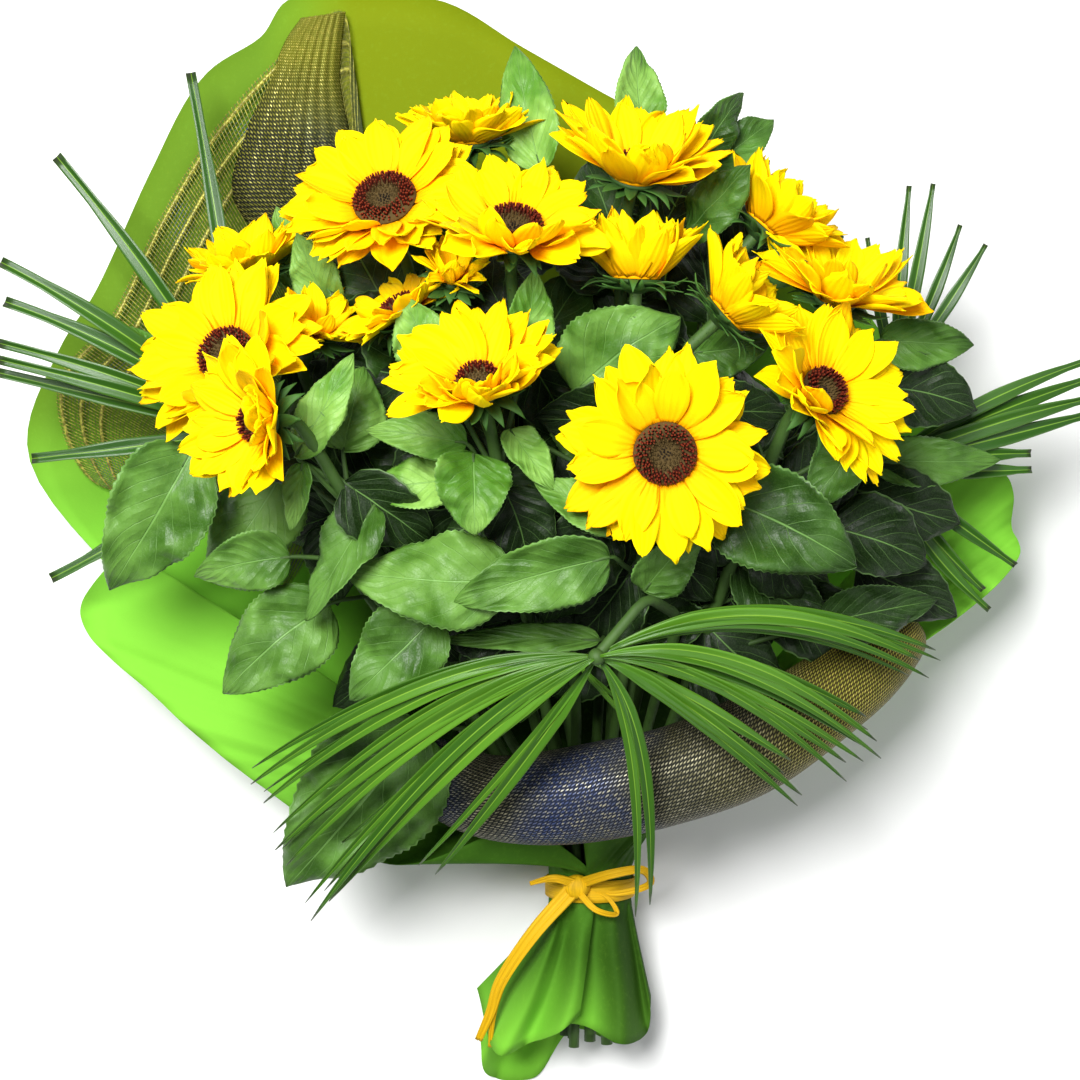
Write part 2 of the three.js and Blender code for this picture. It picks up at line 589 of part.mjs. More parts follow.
function bloomStem(bloom) {
  const ahead = facing(bloom.facing);
  const back = seen(bloom.at).addScaledVector(ahead, -CALYX_DEPTH);
  const neck = back.clone().addScaledVector(ahead, -NECK);
  return stemWay(bloom.slot, (tied) => {
    const middle = tied.clone().lerp(neck, 0.5);
    middle.z -= STEM_SAG;
    return [middle, neck, back.addScaledVector(ahead, CALYX_GRIP)];
  });
}

// ---- heads ----

function headMatrix(bloom) {
  const turn = new THREE.Quaternion().setFromUnitVectors(UP, facing(bloom.facing));
  return new THREE.Matrix4().compose(seen(bloom.at), turn, new THREE.Vector3(1, 1, 1));
}

// LatheGeometry turns about Y: this stands its axis along Z.
const STAND = new THREE.Matrix4().makeRotationX(Math.PI / 2);
const turned = (matrix, angle) => matrix.clone().multiply(new THREE.Matrix4().makeRotationZ(angle));

function petals(bloom, grow) {
  const draw = drawer(BLOOMS.indexOf(bloom) + 1);
  const head = headMatrix(bloom);
  const rim = Math.max(bloom.disc, SMALLEST_RIM);
  const edge = rim + PLATE_RIM + grow;
  const [low, high] = [PLATE_BOTTOM - grow, PLATE_TOP + grow];
  const plate = lathe([[0, low], [edge, low], [edge, high], [0, high]], bloom.petals);
  const pieces = [placed(plate, head.clone().multiply(STAND))];
  for (const layer of [0, 1]) {
    for (let i = 0; i < bloom.petals; i++) {
      const turn = (2 * Math.PI * (i + layer / 2 + draw(...PETAL_TURN))) / bloom.petals;
      const length = (bloom.reach - rim) * LAYER_REACH[layer] * draw(...PETAL_LENGTH);
      const spacing = Math.PI / bloom.petals;
      const widest = Math.min(spacing * (rim + length / 2), bloom.reach * PETAL_SHARE);
      const near = Math.max(0, -Math.cos(turn - radians(bloom.facing[0])));
      const shape = {
        length,
        half: [spacing * rim * PETAL_ROOT, widest * draw(...PETAL_WIDTH)],
        cup: radians(bloom.cup + (bloom.close ?? 0) * near + LAYER_CUP[layer] + draw(...PETAL_SWAY)),
        droop: length * draw(...PETAL_DROOP),
        skew: draw(...PETAL_SWAY),
        high: LAYER_HIGH[layer],
      };
      const stations = layer || bloom.disc < BIG_DISC ? 2 : 3;
      pieces.push(placed(petal(rim, shape, stations, grow), turned(head, turn)));
    }
  }
  return join(pieces);
}

const DISC_RINGS = [[0, 2.6], [0.66, 5.2], [0.98, 3]]; // share of the radius, and height
const DISC_UNDER = 0.55; // height of its underside over the plate of the petals
const DISC_BUMP = 0.7;
const DISC_SIDES = { from: 14, big: 12, small: 10 }; // by its radius

// The disc of florets: a ring of open ones round a lower middle, roughened by a formula.
function disc(bloom, grow) {
  const r = bloom.disc;
  const sides = r > DISC_SIDES.from ? DISC_SIDES.big : DISC_SIDES.small;
  const rings = DISC_RINGS.map(([share, height]) => [share * r + (share ? grow : 0), height + grow]);
  const rim = rings.at(-1)[0];
  const profile = [...rings, [rim, DISC_UNDER - grow], [0, DISC_UNDER - grow]];
  const geometry = new THREE.LatheGeometry(profile.map(([x, y]) => new THREE.Vector2(x, y)), sides);
  warp(geometry, ({ x, y, z }) => {
    const around = Math.round((Math.atan2(x, z) * sides) / (2 * Math.PI));
    const far = Math.hypot(x, z) / r;
    const bump = y > 1 && far > 0.2 ? DISC_BUMP * ((around + Math.round(far * 3)) % 2 ? 1 : -1) : 0;
    return new THREE.Vector3(x, y + bump, z);
  });
  return placed(solidOf(geometry), headMatrix(bloom).multiply(STAND));
}

// The green cup behind a head, with its pointed bracts.
function calyx(bloom, grow) {
  const r = Math.max(bloom.disc, SMALLEST_RIM);
  const head = headMatrix(bloom);
  const top = PLATE_BOTTOM - CLEARANCE + grow;
  const bottom = -CALYX_DEPTH - grow;
  const cup = lathe([[0, bottom], [CALYX_FOOT + grow, bottom], [r + grow, top], [0, top]], CALYX_SIDES);
  const pieces = [placed(cup, head.clone().multiply(STAND))];
  for (let i = 0; i < BRACT.count; i++) {
    const cone = new THREE.ConeGeometry(1, 1, 3, 1);
    const length = r * BRACT.share + BRACT.past;
    warp(cone, ({ x, y, z }) => {
      const along = y + 0.5;
      const height = -CALYX_DEPTH + BRACT.high - along * BRACT.droop + z * (BRACT.thick / 2 + grow);
      return new THREE.Vector3(r * BRACT.foot + along * length, x * (BRACT.wide / 2 + grow), height);
    });
    pieces.push(placed(solidOf(cone), turned(head, (2 * Math.PI * (i + 0.25)) / BRACT.count)));
  }
  return join(pieces);
}

// ---- wrap, mesh and ribbon ----

const ON_TABLE = 0.01; // what is lower lies on the table

// A thin sheet whose middle surface is point(across, along), lifted to lie on the table and never below it.
function sheet(point, thick, cells, grow) {
  const half = thick / 2;
  const lying = (across, along) => {
    const at = point(across, along);
    at.z = Math.max(at.z, half);
    return at;
  };
  const step = 1e-3;
  return slab(cells, (across, along, face) => {
    const a = THREE.MathUtils.clamp(across, step, 1 - step);
    const b = THREE.MathUtils.clamp(along, step, 1 - step);
    const dAcross = lying(a + step, b).sub(lying(a - step, b)).normalize();
    const dAlong = lying(a, b + step).sub(lying(a, b - step)).normalize();
    const normal = new THREE.Vector3().crossVectors(dAcross, dAlong).normalize();
    const at = lying(across, along).addScaledVector(normal, face * (half + grow));
    if (grow) {
      if (across === 0 || across === 1) at.addScaledVector(dAcross, across ? 1 : -1);
      if (along === 0 || along === 1) at.addScaledVector(dAlong, along ? 1 : -1);
    } else if (at.z < ON_TABLE) {
      at.z = 0;
    }
    return at;
  });
}

function curveThrough(points) {
  const curve = new THREE.CatmullRomCurve3(points.map(seen));
  return (across) => curve.getPoint(across);
}

// A point on the way from one point to another, bent towards a third.
function bent(from, towards, to, along) {
  return from
    .clone()
    .multiplyScalar((1 - along) ** 2)
    .addScaledVector(towards, 2 * along * (1 - along))
    .addScaledVector(to, along ** 2);
}

const PANEL_RISE = 10; // of the front panels as they leave the tie
const TAIL_CELLS = 2; // of a wrap's cells along, those below the tie, with one more at the tie
const FOLD_SWELL = 0.7; // of a half wave from the tie to the edge: how a fold swells and dies down

function wrap(spec, grow) {
  const edge = curveThrough(spec.edge);
  const hem = curveThrough(spec.hem);
  const waist = slotPlace([2, 2]);
  const rows = spec.cells[1];
  const point = (across, along) => {
    const row = along * rows;
    const below = row < TAIL_CELLS + 0.5;
    const out = Math.max(0, below ? 1 - row / TAIL_CELLS : (row - TAIL_CELLS - 1) / (rows - TAIL_CELLS - 1));
    const turn = radians(THREE.MathUtils.lerp(spec.arc[0], spec.arc[1], across));
    const radius = WRAP_WAIST + WRAP_THICK / 2;
    const from = new THREE.Vector3(
      waist.x + radius * Math.cos(turn),
      waist.y + TIE_HALF * THREE.MathUtils.clamp((row - TAIL_CELLS) * 2 - 1, -1, 1),
      waist.z + radius * Math.sin(turn),
    );
    const to = below ? hem(across) : edge(across);
    const towards = from.clone();
    towards.y += Math.sign(to.y - from.y) * from.distanceTo(to) * spec.belly;
    if (!below) towards.z = spec.bellyHigh ?? from.z + PANEL_RISE;
    const at = bent(from, towards, to, out);
    at.z += spec.foldDepth * Math.sin(2 * Math.PI * spec.folds * across) * Math.sin(Math.PI * out * FOLD_SWELL);
    return at;
  };
  return sheet(point, WRAP_THICK, spec.cells, grow);
}

// The woven sheet lies over the back sheet of the wrap, lifted off it in soft waves away from its foot.
function meshSheet(grow) {
  const under = new THREE.Mesh(surfaceOf(wrap(WRAPS[0], 0)));
  const outline = (points) => curveThrough(points.map((point) => [...point, READING_HEIGHT]));
  const foot = outline(MESH_SHEET.foot);
  const edge = outline(MESH_SHEET.edge);
  const eye = new THREE.Vector3(-MIDDLE.x, -MIDDLE.y, EYE_HEIGHT);
  const point = (across, along) => {
    const way = foot(across).lerp(edge(across), along).sub(eye).normalize();
    const [hit] = new THREE.Raycaster(eye, way).intersectObject(under);
    const wave = 1 + Math.sin(2 * Math.PI * MESH_SHEET.folds * across + MESH_SHEET.slant * along);
    const lift = (MESH_SHEET.lift + MESH_SHEET.foldDepth * wave) * Math.min(1, MESH_SHEET.landing * along);
    return hit.point.addScaledVector(way, -lift);
  };
  return sheet(point, MESH_SHEET.thick, MESH_SHEET.cells, grow);
}

function meshRoll(grow) {
  const { sides, steps, radius, endRadius, path } = MESH_ROLL;
  const curve = new THREE.CatmullRomCurve3(path.map(seen));
  const cylinder = new THREE.CylinderGeometry(1, 1, 1, sides, steps);
  warp(cylinder, ({ x, y, z }) => {
    const along = y + 0.5;
    const { across, face } = bladeFrame(curve, along, 0);
    const size = endRadius + (radius - endRadius) * Math.sin(Math.PI * along) ** 0.5 + grow;
    return curve.getPoint(along).addScaledVector(across, x * size).addScaledVector(face, z * size);
  });
  return solidOf(cylinder);
}

function strip(points, width, cells, grow) {
  const curve = new THREE.CatmullRomCurve3(points.map(seen));
  return slab([1, cells], (across, along, face) => {
    const frame = bladeFrame(curve, along, 0);
    return curve
      .getPoint(along)
      .addScaledVector(frame.across, (across - 0.5) * (width + 2 * grow))
      .addScaledVector(frame.face, face * (RIBBON.thick / 2 + grow));
  });
}

function ribbon(grow) {
  const { radius, width, thick, sides, knot, knotSize, strips } = RIBBON;
  const low = -width / 2 - grow;
  const high = width / 2 + grow;
  const inner = radius - grow;
  const outer = radius + thick + grow;
  const ring = lathe([[inner, low], [outer, low], [outer, high], [inner, high], [inner, low]], sides);
  const ball = warp(new THREE.SphereGeometry(1, 6, 4), (point) =>
    point.clone().multiply(new THREE.Vector3(...knotSize).addScalar(grow)),
  );
  return join([
    placed(ring, new THREE.Matrix4().makeTranslation(slotPlace([2, 2]))),
    placed(solidOf(ball), new THREE.Matrix4().makeTranslation(seen(knot))),
    ...strips.map((spec) => strip(spec.way, spec.width, spec.cells, grow)),
  ]);
}

// ---- the scene graph ----

const bunch = new THREE.Group();

function addMesh(name, finish, solid) {
  const geometry = surfaceOf(largest(solid.simplify(SMALLEST_EDGE)));
  geometry.computeVertexNormals();
  const mesh = new THREE.Mesh(geometry, new THREE.MeshStandardMaterial({ ...FINISHES[finish], metalness: 0 }));
  mesh.name = name;
  bunch.add(mesh);
}

// The stems, heads' green cups and palm stalks pass whole, and all else bends clear of them.
const carriers = new Map();
for (const bloom of BLOOMS) {
  const way = bloomStem(bloom);
  const carrier = (grow) => join([stemTube(way, STEM_RADIUS + grow), calyx(bloom, grow)]);
  carriers.set(bloom.name, { way, solid: carrier(0), grown: carrier(CLEARANCE) });
}
for (const frond of FRONDS) {
  const way = stemWay(frond.slot, () => [...frond.rise.map(seen), seen(frond.hub)]);
  const carrier = (grow) => join([stemTube(way, PALM_STEM_RADIUS + grow), hubKnob(frond, grow)]);
  carriers.set(frond.name, { way, solid: carrier(0), grown: carrier(CLEARANCE) });
}
const carriersBut = (name) => [...carriers].filter(([other]) => other !== name).map(([, { grown }]) => grown);

const taken = []; // the grown solids of what is already placed
for (const bloom of BLOOMS.filter(({ disc: radius }) => radius)) {
  const others = carriersBut(bloom.name);
  addMesh(`${bloom.name}_disc`, "disc", clearOf(disc(bloom, 0), [...others, ...taken]));
  taken.push(disc(bloom, CLEARANCE));
}
for (const bloom of BLOOMS) {
  const others = carriersBut(bloom.name);
  addMesh(`${bloom.name}_petals`, "petal", clearOf(petals(bloom, 0), [...others, ...taken]));
  taken.push(petals(bloom, CLEARANCE));
}
for (const frond of FRONDS) {
  const { solid } = carriers.get(frond.name);
  const leaflets = (grow) => join(frond.leaflets.map((_, i) => leaflet(frond, i, grow)));
  const clear = clearOf(leaflets(0), [...carriersBut(frond.name), ...taken]);
  addMesh(frond.name, "palm", join([solid, clear]));
  taken.push(leaflets(CLEARANCE));
}
for (const bloom of BLOOMS) {
  const { way, solid } = carriers.get(bloom.name);
  const grown = [];
  const leaves = (LEAVES[bloom.name] ?? []).map((spec) => {
    const from = stemPoint(way, spec.from);
    grown.push(leaf(spec, from, CLEARANCE));
    return clearOf(leaf(spec, from, 0), [...carriersBut(bloom.name), ...taken]);
  });
  addMesh(`${bloom.name}_stem`, "leaf", join([solid, ...leaves]));
  taken.push(...grown);
}
const carried = [...carriers.values()].map(({ grown }) => grown);
const soft = [
  ["mesh_roll", "mesh", meshRoll],
  ["ribbon_tie", "ribbon", ribbon],
  ...WRAPS.map((spec) => [spec.name, "wrap", (grow) => wrap(spec, grow)]),
  ["mesh_sheet", "mesh", meshSheet],
];
for (const [name, finish, make] of soft) {
  addMesh(name, finish, clearOf(make(0), [...carried, ...taken]));
  taken.push(make(CLEARANCE));
}

export default bunch;
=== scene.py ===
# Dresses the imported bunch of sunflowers: fine petals, florets, veined leaves, pleated palm, soft wrap and
# woven mesh. Tables and lengths are in millimetres, and every finished mesh is scaled to metres once.
import random
from math import copysign, cos, exp, pi, radians, sin, sqrt

import bmesh
import bpy
from mathutils import Matrix, Quaternion, Vector, noise
from mathutils.bvhtree import BVHTree


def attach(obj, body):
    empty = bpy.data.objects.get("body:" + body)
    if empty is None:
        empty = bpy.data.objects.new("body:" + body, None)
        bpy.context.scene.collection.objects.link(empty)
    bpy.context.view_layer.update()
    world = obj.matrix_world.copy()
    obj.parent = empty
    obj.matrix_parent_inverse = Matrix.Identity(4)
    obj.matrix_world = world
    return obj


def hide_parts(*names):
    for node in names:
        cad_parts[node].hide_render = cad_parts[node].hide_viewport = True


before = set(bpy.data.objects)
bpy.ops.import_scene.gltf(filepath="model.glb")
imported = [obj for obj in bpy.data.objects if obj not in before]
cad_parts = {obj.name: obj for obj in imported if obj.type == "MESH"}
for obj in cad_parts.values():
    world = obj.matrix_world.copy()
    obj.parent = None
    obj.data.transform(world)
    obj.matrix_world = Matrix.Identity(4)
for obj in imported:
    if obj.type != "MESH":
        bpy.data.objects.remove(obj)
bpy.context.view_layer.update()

bl_info = {
    "name": "Bunch of sunflowers",
    "version": (1, 0, 0),
    "blender": (4, 5, 0),
    "location": "3D View > Sidebar > Sunflowers",
    "description": "Builds a florist's bunch of sunflowers with palm, wrap and woven mesh",
    "category": "Add Mesh",
}

MM = 0.001
UP = Vector((0, 0, 1))
MERGE = 0.002  # points this close become one
LENS = 72.8
FLOOR_HALF = 3  # m
KEY_LIGHT = (0.8, (-0.5, 0.6, 2.0))  # size and place, m
FILL_LIGHT = (1.4, (1.1, -0.7, 1.6))

# Places are [right, up, high] as an eye straight above the middle sees them, true at READING_HEIGHT.
EYE_HEIGHT = 1500
READING_HEIGHT = 190
MIDDLE = Vector((7, -4, 0))

WAIST = (30, -207, 36)
STEM_RADIUS = 4
PALM_STEM_RADIUS = 3.6
STEM_PITCH = 8.2
ROW_PITCH = 8.7
STEM_ROWS = (4, 5, 5, 5, 3)
STEM_TAIL = 105  # from the tie to the lowest cut end
CUT_STEP = 9  # by which the cut ends differ
STEM_SPLAY = 0.35
STEM_DROP = 3
STEM_SAG = 3
TIE_HALF = 9
NECK = 26
WRAP_WAIST = 26.8
WRAP_THICK = 1.2
CALYX_DEPTH = 11
SMALLEST_RIM = 5

# name, at, (leans to, tilt), disc radius, reach, (cup, how much more it closes on the near side),
# petals in a ring, stem slot (row, place)
BLOOMS = [
    ("front_right", (75, 52, 262), (-90, 12), 18.5, 61, (8, 0), 12, (4, 1)),
    ("front_middle", (-37, 94, 262), (105, 34), 13.5, 53, (24, 38), 16, (3, 1)),
    ("top_left", (-93, 204, 215), (110, 33), 19.5, 60, (12, 12), 15, (1, 1)),
    ("top_middle", (-16, 187, 253), (85, 42), 18, 56, (12, 32), 13, (3, 2)),
    ("top_back", (-42, 243, 160), (90, 66), 13, 46, (32, 16), 13, (0, 2)),
    ("top_right", (57, 222, 215), (80, 54), 16, 58, (36, 22), 14, (1, 2)),
    ("left_back", (-188, 111, 203), (130, 28), 18, 60, (10, 18), 15, (2, 0)),
    ("left_front", (-169, 71, 272), (185, 34), 12, 50, (22, 40), 13, (3, 0)),
    ("left_top", (-174, 163, 150), (110, 66), 13, 46, (30, 16), 13, (0, 1)),
    ("left_small", (-133, 126, 182), (60, 50), 0, 32, (38, 0), 9, (1, 0)),
    ("middle_small", (-84, 138, 214), (120, 66), 12, 40, (14, 14), 12, (2, 1)),
    ("middle_bud", (-53, 158, 228), (80, 42), 0, 28, (50, 0), 9, (2, 2)),
    ("centre_side", (58, 160, 234), (88, 82), 15, 52, (58, 0), 14, (2, 3)),
    ("centre_right", (114, 138, 254), (42, 78), 15, 50, (55, 0), 14, (3, 3)),
    ("upper_right", (136, 190, 200), (48, 82), 15, 50, (50, 0), 14, (1, 3)),
    ("right_back", (178, 148, 212), (72, 58), 14, 54, (22, 26), 13, (2, 4)),
    ("right_front", (170, 89, 255), (35, 34), 14.5, 57, (14, 34), 12, (3, 4)),
]

# by head: from (share of the stem), root, tip, width, roll
LEAVES = {
    "top_back": [(0.9, (0, 222, 158), (-15, 296, 150), 38, -12)],
    "top_right": [
        (0.95, (62, 246, 168), (58, 296, 168), 32, 10), (0.88, (88, 184, 190), (126, 225, 226), 34, -30),
        (0.42, (36, -60, 176), (-60, -60, 172), 20, 20),
    ],
    "upper_right": [
        (0.92, (98, 232, 172), (122, 268, 172), 28, 15), (0.88, (104, 224, 160), (140, 252, 154), 30, -10),
        (0.9, (134, 160, 168), (182, 182, 172), 28, 10),
    ],
    "right_back": [
        (0.88, (204, 120, 176), (260, 117, 172), 32, 15), (0.8, (198, 48, 160), (276, 48, 150), 32, 0),
    ],
    "left_top": [
        (0.9, (-144, 150, 120), (-158, 200, 124), 24, 0), (0.88, (-218, 98, 140), (-246, 128, 140), 20, 0),
    ],
    "left_small": [
        (0.9, (-126, 138, 160), (-146, 184, 184), 30, -15), (0.72, (-99, 21, 212), (-141, -48, 206), 38, 25),
    ],
    "front_middle": [
        (0.88, (-60, 99, 222), (-82, 145, 242), 38, -10), (0.9, (-9, 112, 228), (-3, 162, 238), 30, 8),
        (0.84, (-44, 58, 224), (-104, 66, 222), 28, 5), (0.82, (-40, 52, 238), (-39, 3, 243), 44, 0),
        (0.75, (-52, 36, 206), (-104, 30, 208), 34, 10), (0.55, (-18, -24, 212), (-118, -18, 206), 58, 12),
    ],
    "front_right": [
        (0.92, (20, 88, 216), (84, 134, 230), 62, 0), (0.88, (-18, 66, 222), (8, 30, 236), 24, -15),
        (0.72, (42, -10, 224), (-52, -38, 222), 44, -12), (0.84, (48, 10, 234), (-4, 36, 232), 30, 10),
        (0.72, (62, -30, 200), (98, 8, 212), 36, 20),
    ],
    "centre_right": [
        (0.86, (92, 112, 206), (138, 118, 204), 34, 10), (0.8, (98, 74, 190), (146, 50, 184), 42, 0),
    ],
    "centre_side": [
        (0.72, (40, 52, 172), (4, 92, 168), 44, 0), (0.5, (52, -46, 140), (108, -62, 134), 48, 8),
    ],
    "left_front": [
        (0.84, (-118, 54, 196), (-106, 104, 190), 44, 0), (0.88, (-146, 50, 226), (-112, 112, 236), 28, -30),
        (0.88, (-208, 54, 196), (-258, -30, 172), 62, -8), (0.8, (-152, 44, 158), (-200, -24, 146), 56, 0),
        (0.82, (-142, 46, 236), (-150, 6, 234), 22, 25), (0.72, (-150, -10, 204), (-207, -22, 196), 36, 0),
        (0.35, (-70, -112, 140), (-152, -208, 128), 88, 0),
    ],
    "middle_small": [(0.6, (-126, -38, 182), (-190, -92, 186), 56, 0)],
    "top_left": [(0.5, (-62, -46, 186), (-114, -96, 178), 52, 8)],
    "right_front": [
        (0.8, (106, 26, 214), (190, -16, 222), 62, 8), (0.6, (118, -14, 160), (176, -56, 148), 46, 0),
        (0.5, (168, -50, 158), (238, -36, 142), 36, 0), (0.84, (192, 60, 196), (160, 18, 200), 34, 15),
    ],
}

# Small leaves lower down that close the heart of the bunch.
INNER_LEAVES = {
    "front_middle": [
        (0.7, (-20, 20, 188), (-76, -14, 176), 46, 0), (0.62, (-30, 30, 180), (12, 66, 176), 44, 10),
    ],
    "front_right": [
        (0.7, (38, 12, 186), (2, -50, 172), 50, -8), (0.6, (60, 6, 176), (104, -36, 166), 50, 8),
    ],
    "centre_right": [
        (0.62, (84, 20, 176), (132, -10, 172), 48, 0), (0.5, (90, -40, 140), (150, -96, 136), 50, 0),
    ],
    "right_front": [
        (0.4, (90, -80, 128), (146, -104, 124), 42, 0), (0.6, (150, 20, 160), (196, 76, 156), 48, 0),
        (0.7, (172, 8, 172), (232, -14, 160), 50, -8), (0.5, (140, -36, 140), (204, -74, 132), 50, 0),
    ],
    "left_small": [(0.5, (-60, -40, 158), (-112, -4, 150), 46, 0)],
    "left_top": [(0.5, (-60, -60, 116), (-124, -100, 108), 54, 0)],
    "top_left": [
        (0.66, (-62, 40, 150), (-110, 74, 146), 46, 0), (0.86, (-92, 140, 168), (-122, 196, 150), 54, 0),
    ],
    "middle_bud": [
        (0.5, (-4, -40, 150), (-50, -92, 140), 46, 0), (0.8, (-44, 100, 170), (-10, 150, 160), 46, 0),
    ],
    "right_back": [
        (0.5, (120, 0, 140), (176, 20, 134), 46, 0), (0.34, (92, -60, 100), (150, -90, 96), 50, 0),
        (0.82, (204, 92, 168), (262, 78, 158), 46, 0), (0.7, (190, 30, 150), (252, 10, 142), 50, 6),
        (0.6, (190, -16, 134), (250, -46, 126), 46, -6),
    ],
    "top_back": [
        (0.5, (-20, -10, 110), (20, 40, 106), 50, 0), (0.8, (-50, 160, 110), (-84, 214, 104), 52, 0),
    ],
    "top_middle": [
        (0.75, (-4, 104, 168), (28, 160, 158), 50, 0), (0.85, (-24, 120, 176), (-66, 168, 166), 46, 8),
    ],
    "top_right": [
        (0.7, (40, 128, 150), (66, 192, 140), 52, 0), (0.8, (58, 150, 156), (16, 206, 146), 50, 0),
        (0.86, (46, 168, 176), (28, 226, 164), 52, 0), (0.9, (66, 176, 176), (92, 228, 160), 46, 0),
    ],
    "middle_small": [(0.8, (-74, 96, 160), (-104, 158, 152), 50, 0)],
    "upper_right": [
        (0.7, (98, 148, 148), (112, 212, 138), 48, 0), (0.8, (112, 158, 150), (152, 206, 144), 44, 0),
    ],
    "left_back": [
        (0.8, (-150, 60, 140), (-196, 20, 130), 50, 0), (0.7, (-128, 30, 130), (-160, 92, 120), 50, 0),
    ],
}
LOW_LEAF_SHARES = (0.34, 0.48, 0.62, 0.76, 0.9)  # of the stem, where smaller leaves stand
LOW_LEAF_REACH = (50, 72)
LOW_LEAF_WIDTH = (38, 52)
LOW_LEAF_DROOP = (14, 34)
LOW_LEAF_FROM = -60
LOW_LEAF_HEART = ((10, 72), (215, 166))  # middle and half widths of the ellipse that they stay in
GOLDEN_TURN = 2.399963

# name, stem slot, hub, rise of the stalk, leaflet width, leaflets (tip, bent over)
FRONDS = [
    (
        "palm_front_fan", (4, 2), (34, -70, 232),
        [(52, -166, 78), (66, -106, 112), (84, -46, 180), (64, -34, 222)], 9.5, [
            ((-174, -147, 176), (-60, -66, 232)), ((-166, -158, 168), (-58, -72, 230)),
            ((-159, -186, 160), (-52, -80, 228)), ((-152, -195, 152), (-46, -88, 226)),
            ((-137, -228, 146), (-40, -96, 226)), ((-126, -216, 142), (-34, -104, 224)),
            ((-112, -190, 140), (-30, -112, 220)), ((-63, -201, 146), (8, -120, 226)),
            ((66, -219, 150), (70, -110, 232)), ((157, -153, 178), (76, -84, 240)),
            ((150, -132, 186), (84, -90, 224)), ((183, -133, 182), (100, -66, 238)),
            ((193, -123, 178), (110, -66, 232)), ((201, -120, 182), (112, -50, 240)),
            ((196, -106, 176), (112, -56, 226)), ((219, -75, 178), (122, -32, 236)),
            ((228, -72, 184), (128, -20, 240)), ((237, -66, 176), (124, -20, 226)),
        ],
    ),
    (
        "palm_feather", (4, 0), (20, -72, 186), [(20, -166, 82), (22, -108, 116)], 3.5, [
            ((-8, -98, 182), (8, -84, 186)), ((-12, -110, 176), (6, -92, 182)),
            ((50, -98, 182), (34, -84, 186)), ((54, -110, 176), (34, -92, 182)),
            ((-14, -82, 188), (4, -74, 192)), ((46, -84, 188), (36, -74, 192)),
        ],
    ),
    (
        "palm_left_fan", (0, 0), (-176, 66, 126), [(-4, -172, 30), (-120, -10, 78)], 9.5, [
            ((-291, 231, 150), (-226, 152, 152)), ((-210, 281, 110), (-192, 178, 112)),
            ((-324, 167, 164), (-246, 128, 168)), ((-321, 143, 152), (-242, 114, 156)),
            ((-324, 118, 146), (-244, 100, 152)), ((-324, 108, 158), (-242, 88, 164)),
            ((-324, 100, 140), (-242, 80, 144)), ((-306, 49, 142), (-240, 54, 148)),
            ((-294, -23, 134), (-232, 10, 138)),
        ],
    ),
    (
        "palm_right_fan", (1, 4), (204, 44, 134), [(64, -170, 46), (150, -40, 108)], 9.5, [
            ((330, 108, 132), (262, 88, 136)), ((334, 98, 124), (266, 80, 128)),
            ((334, 86, 134), (268, 70, 138)), ((332, 76, 126), (268, 62, 130)),
            ((294, 52, 122), (250, 52, 126)), ((294, 42, 132), (250, 42, 136)),
            ((284, -15, 124), (246, 14, 130)), ((267, -30, 118), (236, 2, 122)),
            ((270, -42, 126), (234, -8, 130)),
        ],
    ),
    (
        "palm_right_blades", (0, 3), (214, 98, 98), [(50, -160, 42), (136, -30, 78)], 8, [
            ((197, 182, 108), (206, 140, 106)), ((222, 213, 104), (218, 150, 104)),
            ((236, 214, 112), (228, 152, 112)), ((252, 189, 104), (236, 142, 104)),
            ((267, 177, 112), (244, 136, 112)),
        ],
    ),
]
LEAFLET_LAYERS = 7
LEAFLET_STAGGER = 1.8

# name, arc of the waist, belly, height it sags to, folds, fold depth, rows, edge, hem of the tail
WRAPS = [
    (
        "wrap_back_sheet", (172, 368), 0.16, -50, 3, 5, 7, [
            (-234, -44, 62), (-306, 51, 62), (-288, 114, 64), (-267, 150, 64), (-234, 222, 62),
            (-201, 279, 60), (-167, 301, 58), (-150, 324, 58), (-60, 324, 56), (-12, 297, 52), (33, 271, 46),
            (100, 232, 34), (170, 170, 30), (214, 110, 32), (240, 60, 38), (262, 14, 52),
        ],
        [(-36, -296, 24), (-30, -322, 6), (-4, -323, 4), (20, -294, 4), (52, -300, 3), (64, -276, 26)],
    ),
    (
        "wrap_left_panel", (86, 170), 0.12, None, 2, 5, 6, [
            (-10, -168, 108), (-90, -194, 98), (-165, -150, 92), (-228, -96, 92), (-276, -44, 92),
            (-250, -4, 88),
        ],
        [(24, -284, 70), (-2, -302, 66), (-26, -306, 50), (-38, -270, 34)],
    ),
    (
        "wrap_right_panel", (-2, 95), 0.12, None, 2, 5, 6, [
            (256, 58, 68), (282, 34, 76), (284, 8, 82), (288, -8, 84), (234, -58, 94), (120, -120, 104),
            (24, -166, 108),
        ],
        [(66, -272, 36), (64, -298, 52), (46, -300, 68), (18, -290, 76)],
    ),
]
PANEL_RISE = 10
PANEL_LAP = 0.9  # how far the right panel stands off where it laps over the left one
TAIL_CELLS = 2

MESH_FOOT = [(-150, -30), (-120, 20), (-96, 90), (-80, 150)]
MESH_EDGE = [
    (-216, 30), (-270, 36), (-290, 93), (-258, 134), (-229, 192), (-196, 246), (-148, 298), (-119, 318),
    (-114, 270), (-112, 220),
]
MESH_LIFT = 6
MESH_FOLDS = 3
MESH_FOLD_DEPTH = 2
MESH_CUT = (560, 170)  # its width and length before it was folded
MESH_SELVEDGES = 3
ROW_THREAD, CROSS_THREAD = 0.62, 0.4  # widths of the threads along and across it
